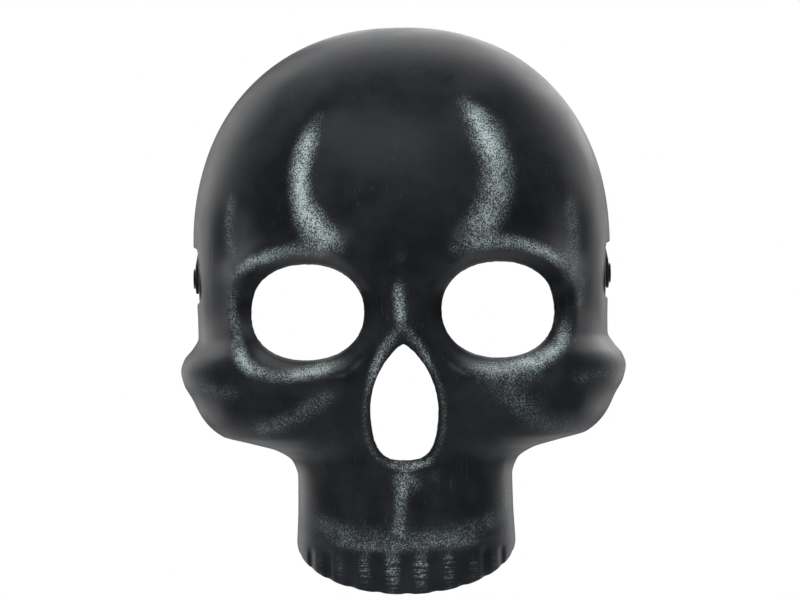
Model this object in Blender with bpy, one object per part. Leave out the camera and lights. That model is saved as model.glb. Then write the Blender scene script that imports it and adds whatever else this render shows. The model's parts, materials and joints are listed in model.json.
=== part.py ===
"""Moulded skull face mask worn on an elastic head strap.

Metres, +Z up, the face looks along -Y. The origin lies midway between the wearer's eyes, on the
plane where the forehead pad meets the wearer. The strap swings about the line through both rivets
and its slider runs along the strap's straight back run.
"""

import math

import bmesh
import bpy
import numpy as np
from mathutils import Matrix, Vector
from mathutils.bvhtree import BVHTree
from mathutils.geometry import delaunay_2d_cdt

# Overall shell sizes.
DOME_HALF_WIDTH = 0.0822
DOME_CENTRE_Z = 0.025
DOME_HEIGHT = 0.0868
DOME_POWER = 2.2
CHEEK_HALF_WIDTH = 0.0872
JAW_HALF_WIDTH = 0.0424
SHELL_DEPTH = 0.080
WALL = 0.0015
FRONT_Y = -0.0085
RIM_SINE = 0.9976

# Side outline below the dome: height, and the half width as a share of the piece that sets it.
TEMPLE_INSET = 0.0016
TEMPLE_Z = -0.0096
CHEEK_OUTLINE = ((-0.0140, 0.950), (-0.0180, 0.986), (-0.0223, 1.000), (-0.0275, 0.987),
                 (-0.0332, 0.950), (-0.0410, 0.902), (-0.0480, 0.815), (-0.0510, 0.690))
JAW_OUTLINE = ((-0.0540, 1.170), (-0.0580, 1.030), (-0.0640, 0.982), (-0.0750, 0.984),
               (-0.0890, 1.000))
TOOTH_EDGE_Z = -0.0890
TOOTH_EDGE_DROP = 0.0188

# Midline profile and rim depth below the brow: height, distance behind the glabella.
MIDLINE = ((0.025, 0.0), (0.014, 0.0020), (0.006, 0.0042), (-0.004, 0.0030), (-0.0115, 0.0012),
           (-0.035, 0.0040), (-0.058, 0.0085), (-0.070, 0.0095), (-0.082, 0.0080),
           (-0.094, 0.0078), (-0.109, 0.0095))
RIM_DEPTH = ((0.025, 1.00), (-0.008, 0.96), (-0.022, 0.82), (-0.040, 0.76), (-0.052, 0.69),
             (-0.062, 0.63), (-0.109, 0.60))

# Relief of the right half: crest points, height towards the viewer (hollows are negative), width.
RELIEF = {
    "brow": (((0.014, 0.012), (0.024, 0.0235), (0.050, 0.0245), (0.064, 0.0165)), 0.0034, 0.0055),
    "forehead edge": (((0.028, 0.078), (0.0365, 0.062), (0.038, 0.050), (0.033, 0.034),
                       (0.024, 0.026)), 0.0018, 0.0085),
    "temple hollow": (((0.066, 0.034), (0.070, 0.002)), -0.0035, 0.0080),
    "nose bridge": (((0.0, 0.016), (0.0, -0.016)), 0.0042, 0.0070),
    "lower orbit": (((0.024, -0.0255), (0.037, -0.0265), (0.055, -0.023)), 0.0030, 0.0050),
    "cheek crest": (((0.024, -0.0285), (0.044, -0.0395), (0.066, -0.0400)), 0.0040, 0.0085),
    "canine hollow": (((0.022, -0.048), (0.034, -0.056)), -0.0035, 0.0080),
    "philtrum": (((0.0, -0.062), (0.0, -0.082)), 0.0014, 0.0045),
    "gum ridge": (((0.0, -0.0875), (0.044, -0.0845)), 0.0016, 0.0034),
}
RELIEF_FADE = 0.93
EDGE_FALL = 40.0

# Openings.
EYE_X = 0.0370
EYE_HALF_WIDTH = 0.0222
EYE_HALF_HEIGHT = 0.0183
EYE_POWER = 2.3
SOCKET_DEPTH = 0.0085
SOCKET_START = 0.92
SOCKET_REACH = 1.42
SOCKET_RINGS = (1.20, 1.44)
NOSE_TOP_Z = -0.0123
NOSE_BOTTOM_Z = -0.0570
NOSE_HALF_WIDTH = 0.0133
NOSE_WIDEST = 0.60

# Teeth.
TOOTH_COUNT = 12
TOOTH_TOP_Z = -0.0900
TOOTH_FADE = 0.0030
TOOTH_GROOVE = 0.0014
GROOVE_SHARPNESS = 6

# Strap, rivets and their seats on the temple walls.
RIVET_Z = 0.0137
RIVET_FROM_RIM = 0.0065
SEAT_RECESS = 0.0018
SEAT_LENGTH = 0.0140
SEAT_UP = 0.0112
SEAT_DOWN = 0.0088
SEAT_SLOPE = 0.0014
STRAP_WIDTH = 0.0120
STRAP_THICKNESS = 0.0011
STRAP_RISE_DEG = 12.0
STRAP_REACH = 0.1300
STRAP_STRAIGHT_START = 0.0220
BACK_RUN_HALF = 0.0460
GAP = 0.0003
RIVET_HEAD_RADIUS = 0.0040
RIVET_HEAD_HEIGHT = 0.0006
RIVET_SHANK_RADIUS = 0.0016
RIVET_BORE_RADIUS = 0.0008
WASHER_RADIUS = 0.0050
WASHER_THICKNESS = 0.0007

# Slider.
SLIDER_HALF_LENGTH = 0.0130
SLIDER_MARGIN = 0.0028
SLIDER_THICKNESS = 0.0020
BAR_WIDTH = 0.0024
LEFT_BAR_X = -0.0118
FOLD_BAR_X = 0.0020
SLOT_CLEARANCE = 0.0004
THREADING_SLOT = 0.0042
SEWN_LEG = 0.0160
TAIL_LENGTH = 0.0220
LEG_OVER_BAR = 0.0035
LEG_FALL = 0.0080
TAIL_FALL = 0.0090
TAIL_FALL_INSIDE = 0.0020

# Foam pads.
PAD_THICKNESS = 0.0045
PAD_GAP = 0.0005
FOREHEAD_PAD_Z = 0.0360
FOREHEAD_PAD_HALF = (0.0195, 0.0070)
CHEEK_PAD_CENTRE = (0.0530, -0.0345)
CHEEK_PAD_HALF = (0.0095, 0.0060)

# Mesh spacing, as seen from the shell's own centre.
CENTRE = Vector((0.0, FRONT_Y + SHELL_DEPTH, 0.005))
LATTICE = 0.088
TOOTH_LATTICE = 0.022
ROUND_SEGMENTS = 24


def curve_through(points, at):
    """Monotone cubic through (key, value) points whose keys fall, read at the heights in at."""
    keys = np.array([p[0] for p in points])[::-1]
    values = np.array([p[1] for p in points])[::-1]
    step = np.diff(keys)
    slope = np.diff(values) / step
    tangent = np.zeros(len(keys))
    tangent[0] = slope[0]
    tangent[-1] = slope[-1]
    for i in range(1, len(keys) - 1):
        if slope[i - 1] * slope[i] > 0:
            tangent[i] = 2 * slope[i - 1] * slope[i] / (slope[i - 1] + slope[i])
    at = np.clip(at, keys[0], keys[-1])
    i = np.clip(np.searchsorted(keys, at) - 1, 0, len(step) - 1)
    t = (at - keys[i]) / step[i]
    low = values[i] * (1 + 2 * t) * (1 - t) ** 2 + tangent[i] * step[i] * t * (1 - t) ** 2
    high = values[i + 1] * t * t * (3 - 2 * t) + tangent[i + 1] * step[i] * t * t * (t - 1)
    return low + high


def smooth_step(low, high, value):
    """0 below low, 1 above high, smooth between."""
    t = np.clip((value - low) / (high - low), 0.0, 1.0)
    return t * t * (3 - 2 * t)


def side_points():
    """The outline's height and half width points from the dome's centre to the tooth edge."""
    points = [(DOME_CENTRE_Z, DOME_HALF_WIDTH), (TEMPLE_Z, DOME_HALF_WIDTH - TEMPLE_INSET)]
    points += [(z, share * CHEEK_HALF_WIDTH) for z, share in CHEEK_OUTLINE]
    points += [(z, share * JAW_HALF_WIDTH) for z, share in JAW_OUTLINE]
    return points


def side_half_width(z):
    """Half width of the side outline at heights below the dome's centre."""
    return curve_through(side_points(), z)


def bump(x, z, points, width):
    """1 on the open polyline through points, mirrored in X, falling off over width."""
    nearest = np.full(np.shape(x), 1e9)
    for (ax, az), (bx, bz) in zip(points, points[1:]):
        dx = bx - ax
        dz = bz - az
        t = np.clip(((x - ax) * dx + (z - az) * dz) / (dx * dx + dz * dz), 0, 1)
        nearest = np.minimum(nearest, np.hypot(x - ax - t * dx, z - az - t * dz))
    return np.exp(-(nearest / width) ** 2)


def eye_radius(x, z):
    """Distance from the eye's centre as a share of the eye hole's own radius."""
    across = np.abs(x - EYE_X) / EYE_HALF_WIDTH
    up = np.abs(z) / EYE_HALF_HEIGHT
    return (across ** EYE_POWER + up ** EYE_POWER) ** (1 / EYE_POWER)


def features(x, z):
    """How far the brows, sockets, nose, cheeks and jaw stand back from the plain face."""
    back = SOCKET_DEPTH * (1 - smooth_step(SOCKET_START, SOCKET_REACH, eye_radius(x, z)))
    for crest, height, width in RELIEF.values():
        back -= height * bump(x, z, crest, width)
    turn = np.arcsin(np.clip(x / JAW_HALF_WIDTH, 0, 1)) * TOOTH_COUNT
    shift = 0.0 if TOOTH_COUNT % 2 == 0 else math.pi / 2
    groove = np.abs(np.cos(turn + shift)) ** GROOVE_SHARPNESS
    return back + TOOTH_GROOVE * groove * smooth_step(-TOOTH_TOP_Z, TOOTH_FADE - TOOTH_TOP_Z, -z)


def face_y(x, z):
    """Y of the shell's outer face at x and z; past the outline it runs on backwards."""
    x = np.abs(x)
    upper = np.maximum(z - DOME_CENTRE_Z, 0) / DOME_HEIGHT
    width = np.where(z > DOME_CENTRE_Z, DOME_HALF_WIDTH, side_half_width(z))
    across = (x / width) ** DOME_POWER
    radius = (across + upper ** DOME_POWER) ** (1 / DOME_POWER)
    inside = np.sqrt(np.clip(1 - (np.minimum(radius, 1) * RIM_SINE) ** 2, 0, 1))
    rim = math.sqrt(1 - RIM_SINE ** 2)
    crown = (inside - rim) / (1 - rim) - EDGE_FALL * np.maximum(radius - 1, 0)
    middle = curve_through(MIDLINE, z)
    depth = SHELL_DEPTH * curve_through(RIM_DEPTH, z)
    fade = smooth_step(1.0, RELIEF_FADE, radius)
    return FRONT_Y + depth - (depth - middle) * crown + features(x, z) * fade


def on_face(rays):
    """Where rays (n by 3 unit directions) from the shell's centre meet the outer face."""
    centre = np.array(CENTRE)
    near = np.zeros(len(rays))
    far = np.full(len(rays), 0.3)
    for _ in range(40):
        middle = (near + far) / 2
        at = centre + rays * middle[:, None]
        behind = at[:, 1] > face_y(at[:, 0], at[:, 2])
        near = np.where(behind, middle, near)
        far = np.where(behind, far, middle)
    return centre + rays * near[:, None]


def to_chart(points):
    """Flatten points: angle from the -Y axis at the shell's centre, kept in its own direction."""
    ray = np.atleast_2d(points) - np.array(CENTRE)
    flat = np.hypot(ray[:, 0], ray[:, 2])
    angle = np.arctan2(flat, -ray[:, 1])
    return np.stack([ray[:, 0], ray[:, 2]], 1) * (angle / np.maximum(flat, 1e-9))[:, None]


def from_chart(flat):
    """Unit rays of chart points, the inverse of to_chart."""
    angle = np.hypot(flat[:, 0], flat[:, 1])
    share = np.sin(angle) / np.maximum(angle, 1e-9)
    return np.stack([flat[:, 0] * share, -np.cos(angle), flat[:, 1] * share], 1)


def even_steps(points, spacing, keep=()):
    """Points at about the given spacing along a polyline, ends included, with keep's indices."""
    marks = sorted({0, len(points) - 1, *keep})
    length = np.concatenate([[0], np.cumsum(np.linalg.norm(np.diff(points, axis=0), axis=1))])
    out = []
    for a, b in zip(marks, marks[1:]):
        count = max(1, round((length[b] - length[a]) / spacing))
        for k in range(count):
            at = length[a] + (length[b] - length[a]) * k / count
            out.append([np.interp(at, length, points[:, axis]) for axis in range(3)])
    out.append(list(points[-1]))
    return np.array(out)


def seat_x():
    """X of the flat strap seat's outer face."""
    return float(curve_through(side_points(), np.array([RIVET_Z]))[0]) - SEAT_RECESS


def rim_y(z):
    """Y of the shell's rim at a height."""
    return FRONT_Y + SHELL_DEPTH * float(curve_through(RIM_DEPTH, np.array([z]))[0])


def rivet_y():
    """Y of the rivet axes."""
    return rim_y(RIVET_Z) - RIVET_FROM_RIM


def side_x(y, z):
    """X of the plain side wall at y and z."""
    low = 0.0
    high = 2 * DOME_HALF_WIDTH
    for _ in range(40):
        middle = (low + high) / 2
        if float(face_y(np.array([middle]), np.array([z]))[0]) < y:
            low = middle
        else:
            high = middle
    return low


def seat_distance(y, z):
    """Distance outside the seat's outline, which is open at the rim; 0 inside it."""
    front = rim_y(RIVET_Z) - SEAT_LENGTH
    corner = STRAP_WIDTH / 2
    high = RIVET_Z + SEAT_UP - corner
    low = RIVET_Z - SEAT_DOWN + corner
    ahead = np.maximum(front + corner - y, 0)
    off = np.maximum(np.maximum(z - high, low - z), 0)
    return np.maximum(np.hypot(ahead, off) - corner, 0)


def press_seat(points):
    """Press the strap seats flat into both side walls."""
    side = np.sign(points[:, 0])
    keep = smooth_step(0, SEAT_SLOPE, seat_distance(points[:, 1], points[:, 2]))
    near_wall = smooth_step(0.6, 0.75, np.abs(points[:, 0]) / DOME_HALF_WIDTH)
    keep = 1 - (1 - keep) * near_wall
    out = points.copy()
    out[:, 0] = side * (np.abs(points[:, 0]) * keep + seat_x() * (1 - keep))
    return out


def seat_line(outward):
    """One side of the seat's outline, from the rim over the front and back, pushed outward."""
    front = rim_y(RIVET_Z) - SEAT_LENGTH
    corner = STRAP_WIDTH / 2
    reach = corner + outward
    high = RIVET_Z + SEAT_UP - corner
    low = RIVET_Z - SEAT_DOWN + corner
    flat = [(rim_y(high + reach), high + reach)]
    flat += [(front + corner - reach * math.sin(a), high + reach * math.cos(a))
             for a in np.linspace(0, math.pi / 2, 5)]
    flat += [(front + corner - reach * math.cos(a), low - reach * math.sin(a))
             for a in np.linspace(0, math.pi / 2, 5)]
    flat.append((rim_y(low - reach), low - reach))
    return np.array([(side_x(y, z), y, z) for y, z in flat])


def rim_line():
    """The right half of the shell's rim, from the top of the dome to the lowest tooth edge."""
    dome = []
    for a in np.linspace(math.pi / 2, 0, 60):
        across = DOME_HALF_WIDTH * max(math.cos(a), 0) ** (2 / DOME_POWER)
        up = DOME_CENTRE_Z + DOME_HEIGHT * math.sin(a) ** (2 / DOME_POWER)
        dome.append((across, up))
    heights = np.linspace(DOME_CENTRE_Z, TOOTH_EDGE_Z, 300)[1:]
    side = list(zip(side_half_width(heights), heights))
    edge = []
    for a in np.linspace(0, math.pi / 2, 60)[1:]:
        edge.append((JAW_HALF_WIDTH * math.cos(a), TOOTH_EDGE_Z - TOOTH_EDGE_DROP * math.sin(a)))
    flat = np.array(dome + side + edge)
    flat[0, 0] = 0.0
    flat[-1, 0] = 0.0
    y = face_y(flat[:, 0], flat[:, 1])
    return np.stack([flat[:, 0], y, flat[:, 1]], 1)


def spaced_rim():
    """The right half of the rim at mesh spacing, with points where the seats meet it."""
    line = rim_line()
    corner = STRAP_WIDTH / 2
    marks = []
    for outward in (0, SEAT_SLOPE):
        for end in (RIVET_Z + SEAT_UP + outward, RIVET_Z - SEAT_DOWN - outward):
            side = np.abs(line[:, 2] - end) + np.where(line[:, 0] < corner, 1.0, 0.0)
            marks.append(int(np.argmin(side)))
    lowest_side = int(np.argmin(np.abs(line[:, 2] - TOOTH_EDGE_Z)))
    coarse = even_steps(line[:lowest_side + 1], LATTICE * SHELL_DEPTH, marks)
    teeth = even_steps(line[lowest_side:], TOOTH_LATTICE * SHELL_DEPTH * 1.2)
    return np.concatenate([coarse, teeth[1:]])


def eye_loop(side, reach=1.0):
    """Points round one eye hole, or round its socket at reach times the hole's size."""
    out = []
    for a in np.linspace(0, 2 * math.pi, 2 * ROUND_SEGMENTS, endpoint=False):
        across = abs(math.cos(a)) ** (2 / EYE_POWER) * math.copysign(1, math.cos(a))
        up = abs(math.sin(a)) ** (2 / EYE_POWER) * math.copysign(1, math.sin(a))
        x = EYE_X + EYE_HALF_WIDTH * across * reach
        z = EYE_HALF_HEIGHT * up * reach
        out.append((side * x, float(face_y(np.array([x]), np.array([z]))[0]), z))
    return np.array(out)


def nose_half_width(t):
    """Half width of the nose hole at a share t of its height, from its top."""
    if t < NOSE_WIDEST:
        return NOSE_HALF_WIDTH * math.sin(math.pi / 2 * t / NOSE_WIDEST) ** 0.62
    below = min((t - NOSE_WIDEST) / (1 - NOSE_WIDEST), 1.0)
    return NOSE_HALF_WIDTH * (1 - below ** 2.5) ** (1 / 3.2)


def nose_loop():
    """Points round the nose hole: a narrow round top, full sides and a nearly flat foot."""
    height = NOSE_TOP_Z - NOSE_BOTTOM_Z
    right = []
    for a in np.linspace(0, math.pi, 19):
        t = (1 - math.cos(a)) / 2
        right.append((nose_half_width(t), NOSE_TOP_Z - height * t))
    left = [(-x, z) for x, z in right[-2:0:-1]]
    flat = np.array(right + left)
    return np.stack([flat[:, 0], face_y(flat[:, 0], flat[:, 1]), flat[:, 1]], 1)


def rivet_loop(side):
    """Points round one rivet hole on the strap seat, before the seat is pressed flat."""
    out = []
    for a in np.linspace(0, 2 * math.pi, ROUND_SEGMENTS, endpoint=False):
        y = rivet_y() + (RIVET_SHANK_RADIUS + GAP) * math.cos(a)
        z = RIVET_Z + (RIVET_SHANK_RADIUS + GAP) * math.sin(a)
        out.append((side * side_x(y, z), y, z))
    return np.array(out)


def inside_loop(points, loop):
    """Which chart points lie inside a closed loop."""
    inside = np.zeros(len(points), bool)
    for (ax, ay), (bx, by) in zip(loop, np.roll(loop, -1, axis=0)):
        crosses = (ay > points[:, 1]) != (by > points[:, 1])
        rise = by - ay if abs(by - ay) > 1e-12 else 1e-12
        inside ^= crosses & (points[:, 0] < ax + (points[:, 1] - ay) * (bx - ax) / rise)
    return inside


def clearance(points, lines):
    """Distance from chart points to the nearest of the given polyline points."""
    marks = np.concatenate(lines)
    return np.min(np.hypot(points[:, None, 0] - marks[:, 0], points[:, None, 1] - marks[:, 1]), 1)


def hex_lattice(spacing):
    """A six-sided lattice over the whole chart, mirror-like about X = 0."""
    rows = int(2.2 / (spacing * 0.866))
    out = []
    for j in range(-rows, rows + 1):
        shift = 0.5 * (j % 2)
        for i in range(-int(2.2 / spacing), int(2.2 / spacing) + 1):
            out.append(((i + shift) * spacing, j * spacing * 0.866))
    return np.array(out)


def shell_surface():
    """Points and triangles of the shell's outer face."""
    right = spaced_rim()
    left = right[-2:0:-1] * np.array([-1, 1, 1])
    loops = [np.concatenate([right, left]), eye_loop(1), eye_loop(-1), nose_loop(),
             rivet_loop(1), rivet_loop(-1)]
    seats = []
    for side in (1, -1):
        for outward in (0.0, SEAT_SLOPE):
            line = seat_line(outward)[1:-1] * np.array([side, 1, 1])
            seats.append(line)
    rings = [eye_loop(side, reach) for side in (1, -1) for reach in SOCKET_RINGS]
    charts = [to_chart(loop) for loop in loops]
    ring_charts = [to_chart(ring) for ring in rings]
    seat_charts = [to_chart(line) for line in seats]
    points = []
    for spacing, teeth in ((LATTICE, False), (TOOTH_LATTICE, True)):
        grid = hex_lattice(spacing)
        grid = grid[inside_loop(grid, charts[0])]
        height = on_face(from_chart(grid))[:, 2]
        grid = grid[(height < TOOTH_TOP_Z + 0.004) == teeth]
        for hole in charts[1:]:
            grid = grid[~inside_loop(grid, hole)]
        lines = charts + ring_charts + seat_charts
        points.append(grid[clearance(grid, lines) > 0.55 * spacing])
    vertices = []
    edges = []
    for chart in charts + ring_charts:
        first = len(vertices)
        vertices += chart.tolist()
        edges += [(first + k, first + (k + 1) % len(chart)) for k in range(len(chart))]
    rim = charts[0]
    for line in seat_charts:
        first = len(vertices)
        vertices += line.tolist()
        edges += [(first + k, first + k + 1) for k in range(len(line) - 1)]
        for end in (0, len(line) - 1):
            on_rim = int(np.argmin(np.hypot(*(rim - line[end]).T)))
            edges.append((first + end, on_rim))
    for grid in points:
        vertices += grid.tolist()
    flat, _, faces, _, _, _ = delaunay_2d_cdt([Vector(v) for v in vertices], edges, [], 0, 1e-7)
    flat = np.array(flat)
    faces = np.array(faces)
    middle = flat[faces].mean(1)
    keep = inside_loop(middle, charts[0])
    for hole in charts[1:]:
        keep &= ~inside_loop(middle, hole)
    space = on_face(from_chart(flat))
    placed = np.concatenate(loops + rings)
    space[:len(placed)] = placed
    return press_seat(space), faces[keep]


def material(name, colour, roughness, metallic=0.0):
    """A Principled material of one colour."""
    made = bpy.data.materials.new(name)
    made.use_nodes = True
    shader = made.node_tree.nodes["Principled BSDF"]
    shader.inputs["Base Color"].default_value = (*colour, 1.0)
    shader.inputs["Roughness"].default_value = roughness
    shader.inputs["Metallic"].default_value = metallic
    return made


def add_object(name, mesh_data, finish, parent=None):
    """Link a named object made from a bmesh, under an optional parent."""
    mesh = bpy.data.meshes.new(name)
    mesh_data.to_mesh(mesh)
    mesh_data.free()
    made = bpy.data.objects.new(name, mesh)
    made.data.materials.append(finish)
    bpy.context.scene.collection.objects.link(made)
    made.parent = parent
    return made


def shade_round(made):
    """Shade a piece smooth with its sharp edges kept."""
    made.data.shade_smooth()
    made.data.set_sharp_from_angle(angle=math.radians(35))


def make_shell(finish):
    """The moulded face: its outer face, thickened inward."""
    points, faces = shell_surface()
    data = bmesh.new()
    vertices = [data.verts.new(p) for p in points]
    for a, b, c in faces:
        data.faces.new((vertices[a], vertices[b], vertices[c]))
    loose = [v for v in data.verts if not v.link_faces]
    bmesh.ops.delete(data, geom=loose, context="VERTS")
    data.normal_update()
    if sum(f.normal.y * f.calc_area() for f in data.faces) > 0:
        bmesh.ops.reverse_faces(data, faces=data.faces)
    shell = add_object("mask_shell", data, finish)
    wall = shell.modifiers.new("wall", "SOLIDIFY")
    wall.thickness = WALL
    wall.offset = -1.0
    wall.use_even_offset = True
    shade_round(shell)
    return shell


def turned(profile, axis_side):
    """A closed solid turned about X from (x, radius) points; axis_side mirrors it in X."""
    data = bmesh.new()
    rings = []
    for x, radius in profile:
        ring = []
        for k in range(ROUND_SEGMENTS):
            a = 2 * math.pi * k / ROUND_SEGMENTS
            ring.append(data.verts.new((axis_side * x, radius * math.cos(a), radius * math.sin(a))))
        rings.append(ring)
    for one, two in zip(rings, rings[1:] + rings[:1]):
        for k in range(ROUND_SEGMENTS):
            n = (k + 1) % ROUND_SEGMENTS
            data.faces.new((one[k], one[n], two[n], two[k]))
    bmesh.ops.recalc_face_normals(data, faces=data.faces)
    return data


def make_rivet(name, side, finish):
    """A tubular rivet: low head outside, shank through strap and wall, flare inside."""
    head = GAP + STRAP_THICKNESS + GAP
    tip = -(WALL + GAP + WASHER_THICKNESS + GAP)
    flare = RIVET_SHANK_RADIUS + 0.0011
    profile = [
        (head, RIVET_HEAD_RADIUS),
        (head + RIVET_HEAD_HEIGHT * 0.4, RIVET_HEAD_RADIUS),
        (head + RIVET_HEAD_HEIGHT, RIVET_HEAD_RADIUS * 0.72),
        (head + RIVET_HEAD_HEIGHT, RIVET_BORE_RADIUS),
        (tip - 0.0007, RIVET_BORE_RADIUS),
        (tip - 0.0007, flare - 0.0003),
        (tip, flare),
        (tip, RIVET_SHANK_RADIUS),
        (head, RIVET_SHANK_RADIUS),
    ]
    made = add_object(name, turned(profile, side), finish)
    made.location = (side * seat_x(), rivet_y(), RIVET_Z)
    shade_round(made)
    return made


def make_washer(name, side, finish):
    """The backing washer between the wall and the rivet's flare."""
    near = -(WALL + GAP)
    far = near - WASHER_THICKNESS
    hole = RIVET_SHANK_RADIUS + GAP
    profile = [(near, hole), (near, WASHER_RADIUS), (far, WASHER_RADIUS), (far, hole)]
    made = add_object(name, turned(profile, side), finish)
    made.location = (side * seat_x(), rivet_y(), RIVET_Z)
    shade_round(made)
    return made


def strap_x():
    """X of the middle of the strap's thickness at the seat."""
    return seat_x() + GAP + STRAP_THICKNESS / 2


def strap_route(end_x):
    """Right-hand centre line in the strap's plane, from the tab's front end to the back run."""
    round_end = np.radians([82, 70, 56, 42, 28, 14])
    route = [(strap_x(), -STRAP_WIDTH / 2 * math.sin(a)) for a in round_end]
    route += [(strap_x(), y) for y in np.linspace(0, STRAP_STRAIGHT_START, 6)]
    across = strap_x() - BACK_RUN_HALF
    along = STRAP_REACH - STRAP_STRAIGHT_START
    for a in np.linspace(0, math.pi / 2, 25)[1:]:
        route.append((BACK_RUN_HALF + across * math.cos(a),
                      STRAP_STRAIGHT_START + along * math.sin(a)))
    for x in np.linspace(BACK_RUN_HALF, end_x, 5)[1:]:
        route.append((x, STRAP_REACH))
    return route


def band(route, side, parent, name, finish, hole=False):
    """A flat band whose middle follows a route in the strap's plane; side mirrors it in X."""
    points = np.array(route)
    step = np.gradient(points, axis=0)
    step /= np.linalg.norm(step, axis=1)[:, None]
    out = np.stack([step[:, 1], -step[:, 0]], 1) * STRAP_THICKNESS / 2
    data = bmesh.new()
    rings = []
    for (x, y), (ox, oy) in zip(points, out):
        half = STRAP_WIDTH / 2
        if hole and y < 0:
            half = math.sqrt(half ** 2 - y ** 2)
        corners = ((x + ox, y + oy, -half), (x + ox, y + oy, half),
                   (x - ox, y - oy, half), (x - ox, y - oy, -half))
        rings.append([data.verts.new((side * cx, cy, cz)) for cx, cy, cz in corners])
    for one, two in zip(rings, rings[1:]):
        for k in range(4):
            n = (k + 1) % 4
            data.faces.new((one[k], one[n], two[n], two[k]))
    data.faces.new(rings[0])
    data.faces.new(rings[-1][::-1])
    bmesh.ops.recalc_face_normals(data, faces=data.faces)
    made = add_object(name, data, finish, parent)
    if hole:
        cutter = bmesh.new()
        bmesh.ops.create_cone(cutter, cap_ends=True, segments=ROUND_SEGMENTS, depth=0.01,
                              radius1=RIVET_SHANK_RADIUS + GAP, radius2=RIVET_SHANK_RADIUS + GAP,
                              matrix=Matrix.Rotation(math.pi / 2, 4, "Y"))
        drill = add_object(f"{name}_drill", cutter, finish, parent)
        drill.location = (side * strap_x(), 0, 0)
        drill.hide_render = True
        drill.display_type = "WIRE"
        cut = made.modifiers.new("rivet hole", "BOOLEAN")
        cut.object = drill
        cut.solver = "EXACT"
    shade_round(made)
    return made


def turn_round(bar_x, inner_y, outer_y, way):
    """Half circle from the inner leg to the outer leg; way +1 bulges to +X."""
    middle = (inner_y + outer_y) / 2
    radius = (outer_y - inner_y) / 2
    return [(bar_x + way * radius * math.sin(a), middle - radius * math.cos(a))
            for a in np.linspace(0, math.pi, 9)]


def left_fold_x():
    """Distance left of the middle where the left strap turns round its bar."""
    return -LEFT_BAR_X - BAR_WIDTH / 2 + GAP


def right_fold_x():
    """X where the adjusting strap turns round the fold bar."""
    return FOLD_BAR_X - BAR_WIDTH / 2 + GAP


def outer_leg_y():
    """Distance of a band's outer leg over the slider, behind the rivet axis."""
    return STRAP_REACH + STRAP_THICKNESS + 2 * GAP + SLIDER_THICKNESS


def resting_leg_y():
    """Distance of a leg that lies back on its own band."""
    return STRAP_REACH + STRAP_THICKNESS + GAP


def leg_fall(start, length):
    """Easing points where an outer leg comes down onto its own band."""
    out = []
    for t in np.linspace(0, 1, 6)[1:]:
        ease = t * t * (3 - 2 * t)
        out.append((start + length * t, outer_leg_y() + (resting_leg_y() - outer_leg_y()) * ease))
    return out


def make_left_strap(parent, finish):
    """The fixed strap: riveted at the temple, sewn round the slider's left bar."""
    bar = left_fold_x()
    route = strap_route(bar)[:-1]
    route += turn_round(bar, STRAP_REACH, outer_leg_y(), -1)
    route += leg_fall(bar + LEG_OVER_BAR, LEG_FALL)
    route.append((bar + LEG_OVER_BAR + LEG_FALL + SEWN_LEG, resting_leg_y()))
    return band(route, -1, parent, "left_strap", finish, hole=True)


def make_right_strap(parent, finish):
    """The adjusting strap: riveted at the temple, running under the slider to the fold."""
    route = strap_route(right_fold_x() + GAP)
    return band(route, 1, parent, "right_strap", finish, hole=True)


def make_tail(parent, finish):
    """The folded end of the adjusting strap: round the bar, over the slider and back."""
    route = turn_round(right_fold_x(), STRAP_REACH, outer_leg_y(), -1)
    start = SLIDER_HALF_LENGTH - TAIL_FALL_INSIDE
    route.append((start, outer_leg_y()))
    route += leg_fall(start, TAIL_FALL)
    route.append((start + TAIL_FALL + TAIL_LENGTH, resting_leg_y()))
    return band(route, 1, parent, "strap_tail", finish)


def make_slider(parent, finish):
    """The slide buckle: a frame with a sewn bar at its left end and a fold bar in its middle."""
    half_height = STRAP_WIDTH / 2 + SLIDER_MARGIN
    slot = STRAP_WIDTH / 2 + SLOT_CLEARANCE
    columns = [
        -SLIDER_HALF_LENGTH,
        LEFT_BAR_X + BAR_WIDTH / 2,
        FOLD_BAR_X - BAR_WIDTH / 2 - THREADING_SLOT,
        FOLD_BAR_X - BAR_WIDTH / 2,
        FOLD_BAR_X + BAR_WIDTH / 2,
        SLIDER_HALF_LENGTH - BAR_WIDTH,
        SLIDER_HALF_LENGTH,
    ]
    rows = [-half_height, -slot, slot, half_height]
    open_cells = {(1, 1), (2, 1), (4, 1)}
    data = bmesh.new()
    grid = {}
    for i, x in enumerate(columns):
        for j, z in enumerate(rows):
            grid[i, j] = data.verts.new((x, 0, z))
    for i in range(len(columns) - 1):
        for j in range(len(rows) - 1):
            if (i, j) not in open_cells:
                data.faces.new((grid[i, j], grid[i + 1, j], grid[i + 1, j + 1], grid[i, j + 1]))
    made = add_object("strap_slider", data, finish, parent)
    body = made.modifiers.new("thickness", "SOLIDIFY")
    body.thickness = SLIDER_THICKNESS
    body.offset = 0.0
    soft = made.modifiers.new("soft edges", "BEVEL")
    soft.width = 0.00045
    soft.segments = 2
    soft.limit_method = "ANGLE"
    made.location = (0, (STRAP_REACH + outer_leg_y()) / 2, 0)
    return made


def face_normal(x, z):
    """Outward unit normal of the shell's plain outer face."""
    step = 1e-4
    px = float(face_y(np.array([x + step]), np.array([z]))[0])
    mx = float(face_y(np.array([x - step]), np.array([z]))[0])
    pz = float(face_y(np.array([x]), np.array([z + step]))[0])
    mz = float(face_y(np.array([x]), np.array([z - step]))[0])
    return Vector(((px - mx) / (2 * step), -1.0, (pz - mz) / (2 * step))).normalized()


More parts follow.
